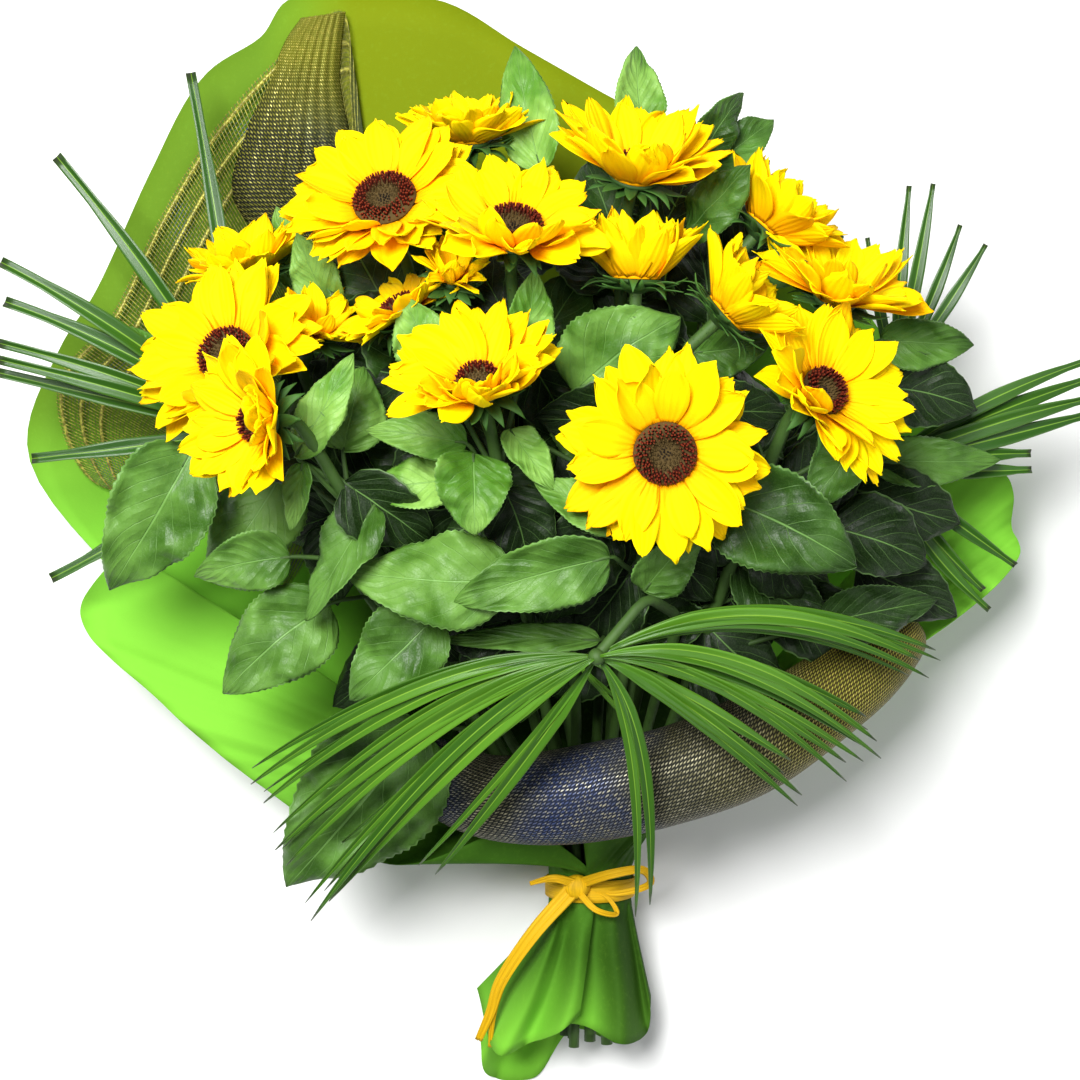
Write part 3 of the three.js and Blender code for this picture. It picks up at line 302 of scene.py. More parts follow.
# The puffed peak that stands up from the sheet, from the flowers to its tip.
MESH_PEAK_LEFT = [(-158, 170), (-184, 206), (-178, 240), (-162, 276), (-152, 300), (-143, 313)]
MESH_PEAK_RIGHT = [(-124, 170), (-114, 206), (-114, 240), (-120, 276), (-119, 300), (-117, 317)]
MESH_PEAK_PUFF = 0.3
ROLL_PATH = [
    (-86, -128, 97), (-30, -154, 125), (50, -148, 141), (120, -126, 141), (180, -88, 131), (222, -52, 111),
]
ROLL_RADIUS = 31
ROLL_END_RADIUS = 14


# ---- sizes and colours that can be changed ----


def colour(name, description, value):
    return bpy.props.FloatVectorProperty(
        name=name, description=description, subtype="COLOR", size=4, min=0, max=1, default=(*value, 1)
    )


def number(name, description, value, most, least=0, **unit):
    return bpy.props.FloatProperty(
        name=name, description=description, default=value, min=least, max=most, **unit
    )


def length(name, description, value, most):
    return number(name, description, value * MM, most * MM, subtype="DISTANCE", unit="LENGTH")


class SunflowerHeads(bpy.types.PropertyGroup):
    petals: number("Petals", "Number of petals, by a real head's", 1, 1.5, 0.5, subtype="FACTOR")
    petal_thick: length("Petal thickness", "Thickness of a petal", 0.4, 2)
    petal_tip: colour("Petal", "Colour of a petal's blade", (1.0, 0.76, 0.0))
    # Painted shade: a deeper orange on the petal beside the disc.
    petal_root_shade: colour("Petal root", "Colour of a petal beside the disc", (1.0, 0.4, 0.0))
    floret_spacing: length("Floret spacing", "Distance between the florets of a disc", 1.9, 5)
    floret_ring: colour("Floret ring", "Colour of the open florets", (0.06, 0.007, 0.004))
    floret_middle: colour("Floret middle", "Colour of the closed florets", (0.085, 0.055, 0.018))


class SunflowerLeaves(bpy.types.PropertyGroup):
    leaf_thick: length("Leaf thickness", "Thickness of a leaf", 0.5, 2)
    tooth: number("Teeth", "Reach of a leaf's teeth, by its half width", 0.02, 0.3, subtype="FACTOR")
    leaf: colour("Leaf", "Colour of a leaf", (0.034, 0.115, 0.009))
    vein: colour("Vein", "Colour of a leaf's veins", (0.2, 0.4, 0.1))
    stem: colour("Stem", "Colour of a stem", (0.05, 0.12, 0.015))


class PalmFronds(bpy.types.PropertyGroup):
    leaflet_thick: length("Leaflet thickness", "Thickness of a leaflet", 0.5, 2)
    blade: colour("Leaflet", "Colour of a leaflet", (0.024, 0.105, 0.004))
    midrib: colour("Midrib", "Colour of its midrib", (0.2, 0.38, 0.03))


class BunchWrapping(bpy.types.PropertyGroup):
    wrap_thick: length("Wrap thickness", "Thickness of the non-woven wrap", 0.6, 2)
    wrap: colour("Wrap", "Colour of the wrap", (0.2, 0.56, 0.04))
    # Painted shade: a darker green for the wrap's upper left side.
    wrap_left_shade: colour("Wrap side", "Colour of the wrap's left side", (0.11, 0.22, 0.012))
    # Painted shade with a painted yellow reflection: olive on the wrap behind the top heads.
    wrap_top_shade: colour("Wrap top", "Colour of the wrap behind the top heads", (0.17, 0.225, 0.002))
    # Painted shade: a deeper green for the wrap below the tie.
    wrap_tail_shade: colour("Wrap tail", "Colour of the wrap below the tie", (0.045, 0.14, 0.008))
    thread_pitch: length("Thread pitch", "Distance between the threads of the mesh", 2.2, 10)
    gold: colour("Gold thread", "Colour of the metallic threads", (0.44, 0.42, 0.06))
    blue: colour("Blue thread", "Colour of the blue threads", (0.04, 0.07, 0.22))
    ribbon: colour("Ribbon", "Colour of the tie", (0.72, 0.42, 0.004))


class Studio(bpy.types.PropertyGroup):
    key: number("Key light", "Power of the key light", 74, 200, unit="POWER")
    fill: number("Fill light", "Power of the fill light", 9, 200, unit="POWER")
    sky: number("Room light", "Brightness of the pale room", 0.22, 5)
    floor: colour("Floor", "Colour of the floor", (0.86, 0.86, 0.85))


# ---- shaders ----


def sum_or_product(operation, turned=False):
    """A method that adds a Math node. turned: the other number comes first."""

    def method(self, *others):
        numbers = (*others, self) if turned else (self, *others)
        return self.finish.node("Math", numbers, operation=operation)

    return method


class Value:
    """A number of a shader. Sums and products with it add Math nodes."""

    __add__ = __radd__ = sum_or_product("ADD")
    __mul__ = __rmul__ = sum_or_product("MULTIPLY")
    __sub__, __rsub__ = sum_or_product("SUBTRACT"), sum_or_product("SUBTRACT", turned=True)
    wave, size, part, most = [sum_or_product(name) for name in ("SINE", "ABSOLUTE", "FRACT", "MAXIMUM")]

    def __init__(self, finish, socket):
        self.finish, self.socket = finish, socket

    def step(self, low, high):
        """0 below low, 1 above high, smooth between."""
        sockets = {"Value": self, "From Min": low, "From Max": high}
        return self.finish.node("MapRange", sockets, interpolation_type="SMOOTHSTEP")


class Finish:
    """A material under construction."""

    def __init__(self, name, **uniform):
        self.material = bpy.data.materials.new(name)
        self.material.use_nodes = True
        self.tree = self.material.node_tree
        self.shader = self.tree.nodes["Principled BSDF"]
        for socket, value in uniform.items():
            self.shader.inputs[socket.replace("_", " ")].default_value = value

    def node(self, kind, sockets=(), out=0, **settings):
        made = self.tree.nodes.new("ShaderNode" + kind)
        for name, value in settings.items():
            setattr(made, name, value)
        for name, value in sockets.items() if isinstance(sockets, dict) else enumerate(sockets):
            if isinstance(value, Value):
                self.tree.links.new(value.socket, made.inputs[name])
            else:
                made.inputs[name].default_value = value
        return Value(self, made.outputs[out])

    def split(self, vector):
        return [self.node("SeparateXYZ", [vector], out) for out in (0, 1)]

    def way(self):
        """The piece's UV map, then across and along the piece, each from 0 to 1."""
        flat = self.node("UVMap", uv_map="way")
        return flat, *self.split(flat)

    def tone(self):
        return self.node("Attribute", out=2, attribute_name="tone")

    def place(self):
        return self.node("TexCoord", out=3)

    def grain(self, vector, scale, detail=3, stretch=None, rough=0.5):
        if stretch:
            vector = self.node("Mapping", {"Vector": vector, "Scale": stretch})
        sockets = {"Vector": vector, "Scale": scale, "Detail": detail, "Roughness": rough}
        return self.node("TexNoise", sockets)

    def mix(self, share, low, high):
        low, high = [tint if isinstance(tint, Value) else (*tint[:3], 1) for tint in (low, high)]
        return self.node("Mix", {0: share, 6: low, 7: high}, 2, data_type="RGBA", clamp_factor=True)

    def feed(self, socket, value):
        self.tree.links.new(value.socket, self.shader.inputs[socket])

    def coat(self, tint, height, distance, strength=1.0):
        """Gives the material its colour and its bumps."""
        self.feed("Base Color", tint)
        sockets = {"Height": height, "Distance": distance * MM, "Strength": strength}
        self.feed("Normal", self.node("Bump", sockets))
        return self


def shade(tint, factor):
    return [channel * factor for channel in tint[:3]]


def petal_finish(heads):
    made = Finish(
        "ray_petal", Roughness=0.7, Specular_IOR_Level=0.07, Subsurface_Weight=0.12,
        Subsurface_Radius=(0.004, 0.002, 0.0002),
    )
    flat, across, along = made.way()
    lines = made.grain(flat, 1, 2, (26, 1.4, 1))
    # Painted shade: the petal turns a deeper orange towards its root beside the disc.
    root = made.mix(along.step(0.0, 0.6), heads.petal_root_shade, heads.petal_tip)
    streaked = made.mix(lines.step(0.4, 0.75) * 0.3, root, shade(heads.petal_tip, 0.85))
    toned = made.mix(made.tone() * 0.75, streaked, (1.0, 0.46, 0.0))
    ribs = (across * 31.4).wave() * 0.5
    return made.coat(toned, ribs + lines * 0.8, 0.3, 0.7)


def floret_finish(heads):
    """Nearly black in the middle, then olive brown closed florets, then a ring of dark red open ones."""
    made = Finish("disc_florets", Roughness=0.85, Specular_IOR_Level=0.12)
    ring, high = made.tone(), made.way()[2]
    grain, opened = made.grain(made.place(), 900, 2), ring.step(0.5, 0.62)
    shut = made.mix(ring.step(0.12, 0.34), (0.012, 0.009, 0.008), heads.floret_middle)
    dark = made.mix(opened, shut, heads.floret_ring)
    tips = made.mix(high.step(0.75, 1.0) * opened * 0.75, dark, (0.2, 0.028, 0.01))
    specks = grain.step(0.6, 0.72) * (1 - ring.step(0.55, 0.7)) * 0.5
    return made.coat(made.mix(specks, tips, (0.2, 0.13, 0.04)), grain, 0.3, 0.5)


def leaf_finish(leaves):
    """Glossy green with pale veins and rim and buckles between the veins; its tone paints light, and
    near-black shade on inner leaves.
    """
    made = Finish("sunflower_leaf", Specular_IOR_Level=0.32)
    flat, across, along = made.way()
    side = (across - 0.5).size() * 2
    cloudy = made.grain(made.place(), 30)
    main = 1 - (side * 30).step(0.3, 1.0)
    run = ((along * VEINS - side * VEIN_LEAN + cloudy * 0.7).part() - 0.5).size() * 2
    lateral = run.step(0.92, 0.99) * (1 - side.step(0.7, 0.98))
    net = made.grain(flat, 30, 2, (1, 1.6, 1))
    fine = 1 - (net - 0.5).size().step(0.0, 0.04)
    veins = main.most(lateral * 0.6).most(fine * 0.16).most(side.step(0.955, 0.985) * 0.7)
    tone, patches = made.tone(), cloudy.step(0.34, 0.62)
    blade = made.mix(patches, shade(leaves.leaf, 0.4), shade(leaves.leaf, 1.2))
    light = made.mix(patches, (0.085, 0.245, 0.016), (0.26, 0.49, 0.09))
    # Painted light: a high tone gives the lighter green of a lit leaf.
    fresh = made.mix(tone, blade, light)
    # Painted shade: a low tone, on leaves inside the bunch and low down, turns the leaf near black.
    painted_shade = made.mix(1 - tone.step(0.0, 0.2), fresh, shade(leaves.leaf, 0.16))
    made.feed("Roughness", 0.32 + cloudy * 0.24)
    quilt = (side * 3.14).wave() * (run * 1.57).wave() * -1.0
    bumps = quilt * 0.8 - veins * 0.5 + net * 0.3 + cloudy * 4.0
    return made.coat(made.mix(veins * 0.55, painted_shade, leaves.vein), bumps, 0.8)


def stem_finish(leaves):
    made = Finish("hairy_stem", Roughness=0.65)
    place = made.place()
    grain, fuzz = made.grain(place, 60, 3, (1, 0.2, 1)), made.grain(place, 1400, 1)
    tint = made.mix(grain.step(0.3, 0.7), leaves.stem, shade(leaves.stem, 0.6))
    return made.coat(tint, fuzz + grain, 0.25, 0.6)


def bract_finish(leaves):
    made = Finish("bract", Roughness=0.7)
    flat, _, along = made.way()
    lines = made.grain(flat, 1, 2, (14, 1.2, 1))
    base = made.mix(along, shade(leaves.leaf, 0.6), shade(leaves.leaf, 1.3))
    tint = made.mix(lines.step(0.4, 0.7) * 0.5, base, shade(leaves.leaf, 0.5))
    return made.coat(tint, lines, 0.3, 0.7)


def leaflet_finish(palms):
    made = Finish("palm_leaflet", Roughness=0.33, Specular_IOR_Level=0.42)
    flat, across, along = made.way()
    side = (across - 0.5).size() * 2
    rib, edge = 1 - side.step(0.03, 0.12), side.step(0.86, 0.97)
    lines = made.grain(flat, 1, 2, (40, 0.6, 1))
    blade = made.mix(lines.step(0.35, 0.7) * 0.55, shade(palms.blade, 0.6), shade(palms.blade, 1.3))
    young = made.tone() * 0.7 * (1 - along.step(0.55, 1.0) * 0.6)
    fresh = made.mix(young, blade, (0.11, 0.29, 0.015))
    tip = made.mix(along.step(0.95, 1.0) * 0.85, fresh, (0.03, 0.03, 0.02))
    # Painted shade: one half of each leaflet is darker, where its fold turns from the light.
    shaded_half = made.mix((across - 0.5).step(0.0, 0.02) * 0.4, tip, shade(palms.blade, 0.5))
    tint = made.mix((rib * 0.8).most(edge * 0.15), shaded_half, palms.midrib)
    return made.coat(tint, lines * 0.6 - rib * 0.5, 0.25, 0.8)


def wrap_finish(wrapping):
    """Non-woven fleece, lime in the light, with painted shade: olive at the top, deeper at the left, in the
    tail and the heart.
    """
    made = Finish("non_woven_wrap", Roughness=0.8, Specular_IOR_Level=0.12)
    place = made.place()
    right, up = made.split(place)
    fibres, cloudy = made.grain(place, 260, 4, rough=0.7), made.grain(place, 9)
    dots = made.node("TexVoronoi", {"Vector": place, "Scale": 700})
    wrap, tail = wrapping.wrap, wrapping.wrap_tail_shade
    lime = made.mix(cloudy.step(0.3, 0.7) * 0.3, wrap, shade(wrap, 0.75))
    # Painted shade: the wrap's upper left side is a darker green.
    left = made.mix(up.step(-0.02, 0.12) * (1 - right.step(-0.2, -0.1)), lime, wrapping.wrap_left_shade)
    # Painted shade and a painted yellow reflection: olive on the wrap at the top, behind the heads.
    behind = up.step(0.13, 0.2) * (right + cloudy * 0.05).step(-0.17, -0.1)
    top = made.mix(behind, left, wrapping.wrap_top_shade)
    # Painted shade on the tail below the tie, lighter again at its foot.
    low = made.mix(1 - up.step(-0.34, -0.26), tail, shade(wrap, 0.9))
    # Painted shadow: the tail's right side is much darker.
    turned = made.mix(right.step(0.02, 0.045) * 0.8, low, shade(tail, 0.35))
    # Below the tie the tail's painted shade takes over.
    outside = made.mix(1 - up.step(-0.2, -0.13), top, turned)
    # Painted shade: the wrap in the heart of the bunch, under the heads, is a near-black green.
    heart = (right - 0.005).size().most(up.size() * 0.8).step(0.1, 0.16)
    shaded = made.mix(heart, shade(tail, 0.3), outside)
    tint = made.mix(fibres.step(0.5, 0.75) * 0.06, shaded, (0.3, 0.6, 0.06))
    return made.coat(tint, fibres * 0.8 + dots * 0.5, 0.15, 0.4)


def thread_finish(wrapping):
    made = Finish("mesh_thread", Metallic=0.3)
    place = made.place()
    cloudy, glint = made.grain(place, 16, 2), made.grain(place, 420, 1)
    dark = made.mix(cloudy.step(0.55, 0.7), (0.07, 0.1, 0.02), wrapping.blue)
    gold = made.mix(glint.step(0.35, 0.7), shade(wrapping.gold, 0.42), wrapping.gold)
    made.feed("Base Color", made.mix(made.tone().step(0.2, 0.8), dark, gold))
    made.feed("Roughness", 0.3 + glint * 0.3)
    return made


def rolled_finish(name, wrapping, weave, tints, changes):
    """Rows of slanting metallic dashes over dark threads that turn to gold along the form.

    weave: rows and dashes, each as counts across and along the form. tints: the dashes before the gold, the
    blue ones, their glint and the threads under the gold. changes: where gold begins, and how rare blue is.
    """
    made = Finish(name, Metallic=0.2, Specular_IOR_Level=0.2)
    _, across, along = made.way()
    place = made.place()
    rows, dashes = weave
    cloth = made.grain(place, 9, 2)
    lines = across * rows[0] + along * rows[1] + made.grain(place, 26, 2) * 1.2
    marks = (across * dashes[0] + along * dashes[1] + lines * 0.5).part() - 0.5
    strand = 1 - (((lines + marks * 0.55).part() - 0.5).size() * 2).step(0.3, 0.7)
    dash = strand * (1 - (marks.size() * 2).step(0.55, 0.9))
    sparkle = made.grain(place, 420, 1).step(0.45, 0.7)
    plain, blue, glint, ground = tints
    gold_from, rare = changes
    warm = (along + cloth * 0.8).step(gold_from, gold_from + 0.4)
    blueness = cloth.step(rare, rare + 0.16)
    metal = made.mix(warm, made.mix(blueness, plain, blue), shade(wrapping.gold, 0.7))
    shiny = made.mix(sparkle * 0.7, metal, made.mix(warm, glint, (0.6, 0.5, 0.1)))
    cool = made.mix(blueness, (0.014, 0.016, 0.012), (0.01, 0.015, 0.035))
    under = made.mix(warm, cool, ground)
    made.feed("Roughness", 0.7 - dash * 0.35)
    return made.coat(made.mix(dash, under, shiny), dash, 0.7, 0.9)


def ribbon_finish(wrapping):
    made = Finish("paper_ribbon", Roughness=0.6, Specular_IOR_Level=0.2)
    fibres = made.grain(made.way()[0], 1, 3, (34, 3, 1))
    tint = made.mix(fibres.step(0.35, 0.7), wrapping.ribbon, shade(wrapping.ribbon, 0.7))
    return made.coat(tint, fibres, 0.35, 0.8)


# ---- shapes ----


def rough(seed, *place):
    """Smooth noise from -1 to 1."""
    return noise.noise(seed + Vector(place))


def seen(point):
    """The real place of a point of the tables."""
    spread = (EYE_HEIGHT - point[2]) / (EYE_HEIGHT - READING_HEIGHT)
    return Vector((point[0] * spread - MIDDLE.x, point[1] * spread - MIDDLE.y, point[2]))


def through(points):
    """A smooth curve through points, from 0 to 1."""
    ends = [points[0] * 2 - points[1], *points, points[-1] * 2 - points[-2]]

    def at(share):
        place = min(max(share, 0.0), 1.0) * (len(points) - 1)
        first = min(int(place), len(points) - 2)
        t = place - first
        a, b, c, d = ends[first : first + 4]
        before, here, after = [max((q - p).length ** 0.5, 1e-4) for p, q in ((a, b), (b, c), (c, d))]
        leave = ((b - a) / before - (c - a) / (before + here) + (c - b) / here) * here
        meet = ((c - b) / here - (d - b) / (here + after) + (d - c) / after) * here
        return b + leave * t + (3 * (c - b) - 2 * leave - meet) * t**2 + (2 * (b - c) + leave + meet) * t**3

    return at


def bent(start, towards, end):
    """A curve from start to end that bends towards a point, and its direction."""

    def at(share):
        return start * (1 - share) ** 2 + towards * 2 * share * (1 - share) + end * share**2

    def heading(share):
        return ((towards - start) * (1 - share) + (end - towards) * share).normalized()

    return at, heading


def new_shape():
    shape = bmesh.new()
    shape.loops.layers.uv.new("way")
    shape.verts.layers.float.new("tone")
    return shape


def patch(shape, cells, place, finish=0, thick=0.0, tone=0.5, closed=False):
    """A sheet: place(across, along) puts its points, across from -1 to 1 and along from 0 to 1."""
    tones = shape.verts.layers.float["tone"]
    grid = {"x_segments": cells[0], "y_segments": cells[1], "size": 1, "calc_uvs": True}
    made = bmesh.ops.create_grid(shape, **grid)["verts"]
    faces = faces_of(made)
    for vert in made:
        vert.co = place(vert.co.x, (vert.co.y + 1) / 2)
        vert[tones] = tone
    for face in faces:
        face.material_index, face.smooth = finish, True
    if closed:
        bmesh.ops.remove_doubles(shape, verts=made, dist=MERGE)
    if thick:
        thicken(shape, [face for face in faces if face.is_valid], thick)


def faces_of(verts):
    return list(dict.fromkeys(face for vert in verts for face in vert.link_faces))


def thicken(shape, faces, thick):
    """Turns a sheet into a closed shell: a copy stands off along its normals, joined by a rim."""
    grown = bmesh.ops.extrude_face_region(shape, geom=faces, use_keep_orig=True)["geom"]
    off = [part for part in grown if isinstance(part, bmesh.types.BMVert)]
    for part in [*(part for part in grown if isinstance(part, bmesh.types.BMFace)), *off]:
        part.normal_update()
    for vert in off:
        vert.co += vert.normal * thick


def course(curve, share):
    """A curve's direction at a share of its length, and one square to it."""
    heading = (curve(min(share + 0.01, 1)) - curve(max(share - 0.01, 0))).normalized()
    return heading, heading.cross(Vector((0.3, 0.1, 1))).normalized()


def tube(shape, curve, radius, sides, steps, finish=0):
    """A round bar along a curve, closed at both ends. radius(along) is its radius."""
    rows = steps + 2

    def place(across, along):
        row = round(along * rows)
        share = min(max(row - 1, 0), steps) / steps
        heading, aside = course(curve, share)
        turn = pi * (across + 1)
        size = 0 if row in (0, rows) else radius(share)
        return curve(share) + (aside * cos(turn) + heading.cross(aside) * sin(turn)) * size

    patch(shape, (sides, rows), place, finish, closed=True)


def lathe(shape, profile, steps, matrix, finish=0, tone=0.5):
    """A turned form: its profile's (radius, height) points spun about the local Z."""
    tones = shape.verts.layers.float["tone"]
    verts = [shape.verts.new((radius, 0, height)) for radius, height in profile]
    edges = [shape.edges.new(pair) for pair in zip(verts, verts[1:])]
    spin = {"axis": UP, "cent": (0, 0, 0), "angle": 2 * pi, "use_merge": True}
    bmesh.ops.spin(shape, geom=verts + edges, steps=steps, **spin)
    made = linked(verts)
    bmesh.ops.remove_doubles(shape, verts=made, dist=MERGE)
    made = [vert for vert in made if vert.is_valid]
    faces = faces_of(made)
    bmesh.ops.recalc_face_normals(shape, faces=faces)
    for vert in made:
        vert[tones] = tone
        vert.co = matrix @ vert.co
    for face in faces:
        face.material_index, face.smooth = finish, True


def cone(shape, sides, low, high, depth, matrix):
    return bmesh.ops.create_cone(
        shape, cap_ends=True, segments=sides, radius1=low, radius2=high, depth=depth, matrix=matrix
    )["verts"]


def linked(verts):
    """Every vertex that hangs together with these, in a steady order."""
    found, waiting = dict.fromkeys(verts), list(verts)
    while waiting:
        for edge in waiting.pop().link_edges:
            for vert in edge.verts:
                if vert not in found:
                    found[vert] = True
                    waiting.append(vert)
    return list(found)


def finished(name, shape, finishes, slot, *nodes):
    """Makes a shape in millimetres a piece of the bunch, in place of its CAD nodes."""
    bmesh.ops.scale(shape, vec=(MM, MM, MM), verts=shape.verts)
    mesh = bpy.data.meshes.new(name)
    shape.to_mesh(mesh)
    shape.free()
    for finish in finishes:
        mesh.materials.append(finish.material)
    piece = bpy.data.objects.new(name, mesh)
    bpy.context.scene.collection.objects.link(piece)
    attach(piece, "root")
    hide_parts(*nodes)
    return piece


# ---- heads ----


def facing(lean, tilt):
    lean, tilt = radians(lean), radians(tilt)
    flat = sin(tilt)
    return Vector((flat * cos(lean), flat * sin(lean), cos(tilt)))


def head_matrix(bloom):
    at, lean = bloom[1:3]
    return Matrix.Translation(seen(at)) @ UP.rotation_difference(facing(*lean)).to_matrix().to_4x4()


def petal_width(along):
    """Share of a petal's half width: it swells from the root and draws in to a point."""
    swell = 0.42 + 0.58 * sin(pi / 2 * min(1, along / 0.45))
    return swell * (1 - 0.76 * max(0, (along - 0.45) / 0.55) ** 2.8)


PETAL_CELLS = (8, 10)
PETAL_CREASE = 0.35  # height of the crease along its middle
PETAL_RIPPLE = 1.1  # height of the ripples of its edges


def ray_petal(shape, matrix, rim, long, half, cup, bend, high, thick, draw):
    """One petal: it leaves the rim at the cup's angle and bends by so much up to its tip."""
    skew, twist, point = draw(-6, 6), draw(-0.55, 0.55), draw(0.02, 0.12)
    dish, ripple, split = draw(0.0, 0.55), draw(0, 6), draw(0, 0.06)
    bend = bend if abs(bend) > 0.02 else 0.02

    def place(side, along):
        notch = split * (0.5 + 0.5 * cos(7 * side + ripple)) * along**4
        lag = 1 - point * abs(side) ** 1.6 * along**2 - notch
        angle = cup + bend * along * lag
        out = rim + long * (sin(angle) - sin(cup)) / bend
        up = high + long * (cos(cup) - cos(angle)) / bend
        wide = half * petal_width(along)
        off = dish * wide * (side * side - 0.4) * min(1, along * 2) + twist * side * wide * along
        off += PETAL_CREASE * cos(2 * pi * side) * sin(pi * along)
        off += PETAL_RIPPLE * sin(ripple + 6 * along + 2 * side) * along * abs(side)
        aside = skew * along * along - side * wide
        return matrix @ Vector((out - off * sin(angle), aside, up + off * cos(angle)))

    patch(shape, PETAL_CELLS, place, 0, thick, draw(0, 1) ** 2)


# share of the ring's petals, degrees on the cup, share of the reach, root height
LAYERS = [(1.15, -7, 1.0, -2.2), (1.15, 1, 0.98, -1.5), (0.75, 11, 0.84, -0.7)]
MOST_CUP = 76  # degrees that a petal can stand up at its root
CURLED = 0.18  # share of the petals that curl in over the disc


def petals_piece(index, bloom, heads, finish):
    name, _, (lean, _), disc, reach, (cup, close), ring, _ = bloom
    draw = random.Random(100 + index).uniform
    head = head_matrix(bloom)
    rim = max(disc, SMALLEST_RIM)
    shape = new_shape()
    for layer, (part, more, share, high) in enumerate(LAYERS):
        count = max(5, round(ring * part * heads.petals))
        for i in range(count):
            turn = 2 * pi * (i + layer * 0.5 + draw(-0.3, 0.3)) / count
            near = max(0, -cos(turn - radians(lean)))
            long = (reach - rim) * share * draw(0.92, 1.14)
            half = min(2 * pi * (rim + 0.45 * long) / (ring * 1.25), reach * 0.175) * draw(0.78, 1.15)
            tilt = radians(min(cup + close * near + more + draw(-6, 6), MOST_CUP))
            curled = draw(0, 1) < CURLED * (1 + near)
            bend = draw(0.2, 0.8) if curled else draw(-0.42, 0.1)
            matrix = head @ Matrix.Rotation(turn, 4, "Z") @ Matrix.Rotation(draw(-0.3, 0.3), 4, "X")
            ray_petal(
                shape, matrix, rim - 1.5, long + 1.5, half, tilt, bend, high + draw(-0.3, 0.3),
                heads.petal_thick / MM, draw,
            )
    lathe(shape, [(0, -3), (rim - 1, -3), (rim - 1, -0.4), (0, 0.2)], 20, head, 0, 0.9)
    return finished(f"{name}_ray_petals", shape, [finish], "petal", f"{name}_petals")


# Turned form under the florets: (share of the disc's radius, height).
DOME = [(0, 1.2), (0.4, 1.9), (0.66, 3.6), (0.86, 3.4), (0.98, 1.6), (0.99, 0.5), (0, 0.5)]
FLORETS_OUT = 0.9  # share of the disc's radius that their roots reach


def floret_piece(index, bloom, heads, finish):
    name, disc = bloom[0], bloom[3]
    draw = random.Random(200 + index).uniform
    head = head_matrix(bloom)
    shape = new_shape()
    tones, uv = shape.verts.layers.float["tone"], shape.loops.layers.uv["way"]
    lathe(shape, [(out * disc, height) for out, height in DOME], 24, head, 0, 0.3)
    spacing = heads.floret_spacing / MM
    count = round((disc / spacing) ** 2 * pi * 0.95)
    for i in range(count):
        share = sqrt((i + 0.5) / count)
        turn = i * GOLDEN_TURN + draw(-0.6, 0.6) / (1 + 9 * share)
        open_one = min(1, max(0, (share - 0.42) * 6))
        height = 1.5 + 2.2 * open_one * (1.15 - 0.5 * max(0, share - 0.8) * 5) + draw(-0.3, 0.3)
        on = 1.0 + 2.4 * sin(min(1, share / 0.75) * pi / 2) ** 3 - max(0, share - 0.86) * 12
        place = Matrix.Rotation(turn, 4, "Z") @ Matrix.Translation((share * disc * FLORETS_OUT, 0, on))
        tilted = place @ Matrix.Rotation((share - 0.45) * 0.9 * open_one + draw(-0.1, 0.1), 4, "Y")
        matrix = head @ tilted @ Matrix.Translation((0, 0, height / 2))
        wide = spacing * (0.44 - 0.06 * open_one)
        made = cone(shape, 5, wide, wide * (0.35 + 0.4 * open_one), height, matrix)
        top = matrix @ Vector((0, 0, height / 2))
        for vert in made:
            vert[tones] = share
            for loop in vert.link_loops:
                loop[uv].uv = (0.5, 1.0 if (vert.co - top).length < height / 2 else 0.2)
    return finished(f"{name}_florets", shape, [finish], "floret_disc", f"{name}_disc")


# ---- stems ----


def slot_place(row, place):
    waist = seen(WAIST)
    aside = (place - (STEM_ROWS[row] - 1) / 2) * STEM_PITCH
    return Vector((waist.x + aside, waist.y, waist.z + (row - (len(STEM_ROWS) - 1) / 2) * ROW_PITCH))


def stem_way(slot, after):
    tied = slot_place(*slot)
    middle = slot_place(2, 2)
    cut = STEM_TAIL - CUT_STEP * ((slot[0] * 3 + slot[1] * 5) % 4)
    end = tied + Vector(((tied.x - middle.x) * STEM_SPLAY, -cut, -STEM_DROP))
    below, above = tied - Vector((0, TIE_HALF, 0)), tied + Vector((0, TIE_HALF, 0))
    return [end, below, above, *after(above)]


def bloom_way(bloom):
    at, lean, slot = bloom[1], bloom[2], bloom[-1]
    ahead = facing(*lean)
    back = seen(at) - ahead * CALYX_DEPTH
    neck = back - ahead * NECK

    def after(tied):
        middle = tied.lerp(neck, 0.5)
        middle.z -= STEM_SAG
        return [middle, neck, back + ahead * 3]

    return stem_way(slot, after)


def stem_point(way, share):
    above, middle, neck = way[2:5]
    return above.lerp(middle, share * 2) if share < 0.5 else middle.lerp(neck, share * 2 - 1)


def stem_tube(shape, way, radius, finish):
    curve = rounded(way)
    tube(shape, curve, lambda along: radius * (1 - 0.12 * sin(9 * along) ** 2), 10, 44, finish)


def rounded(points, ease=0.22):
    """Straight runs between points with soft bends at them, from 0 to 1."""

    def at(share):
        place = min(max(share, 0.0), 1.0) * (len(points) - 1)
        nearest = round(place)
        off = place - nearest
        if 0 < nearest < len(points) - 1 and abs(off) < ease:
            a = points[nearest].lerp(points[nearest - 1], ease)
            c = points[nearest].lerp(points[nearest + 1], ease)
            t = (off + ease) / (2 * ease)
            return a * (1 - t) ** 2 + points[nearest] * 2 * t * (1 - t) + c * t**2
        first = min(int(place), len(points) - 2)
        return points[first].lerp(points[first + 1], place - first)

    return at


def blade_frame(heading, roll):
    across = heading.cross(UP).normalized()
    face = across.cross(heading)
    turn = Quaternion(heading, radians(roll))
    return turn @ across, turn @ face


def leaf_outline(along):
    return max(0.02, sin(pi * min(1, along) ** 0.62) ** 0.75 if along < 1 else 0.02)


VEINS = 6.0  # pairs of side veins
VEIN_LEAN = 2.3  # how many veins further up the leaf a vein meets the edge
FINE_LEAF = (16, 44)
INNER_LEAF = (8, 18)


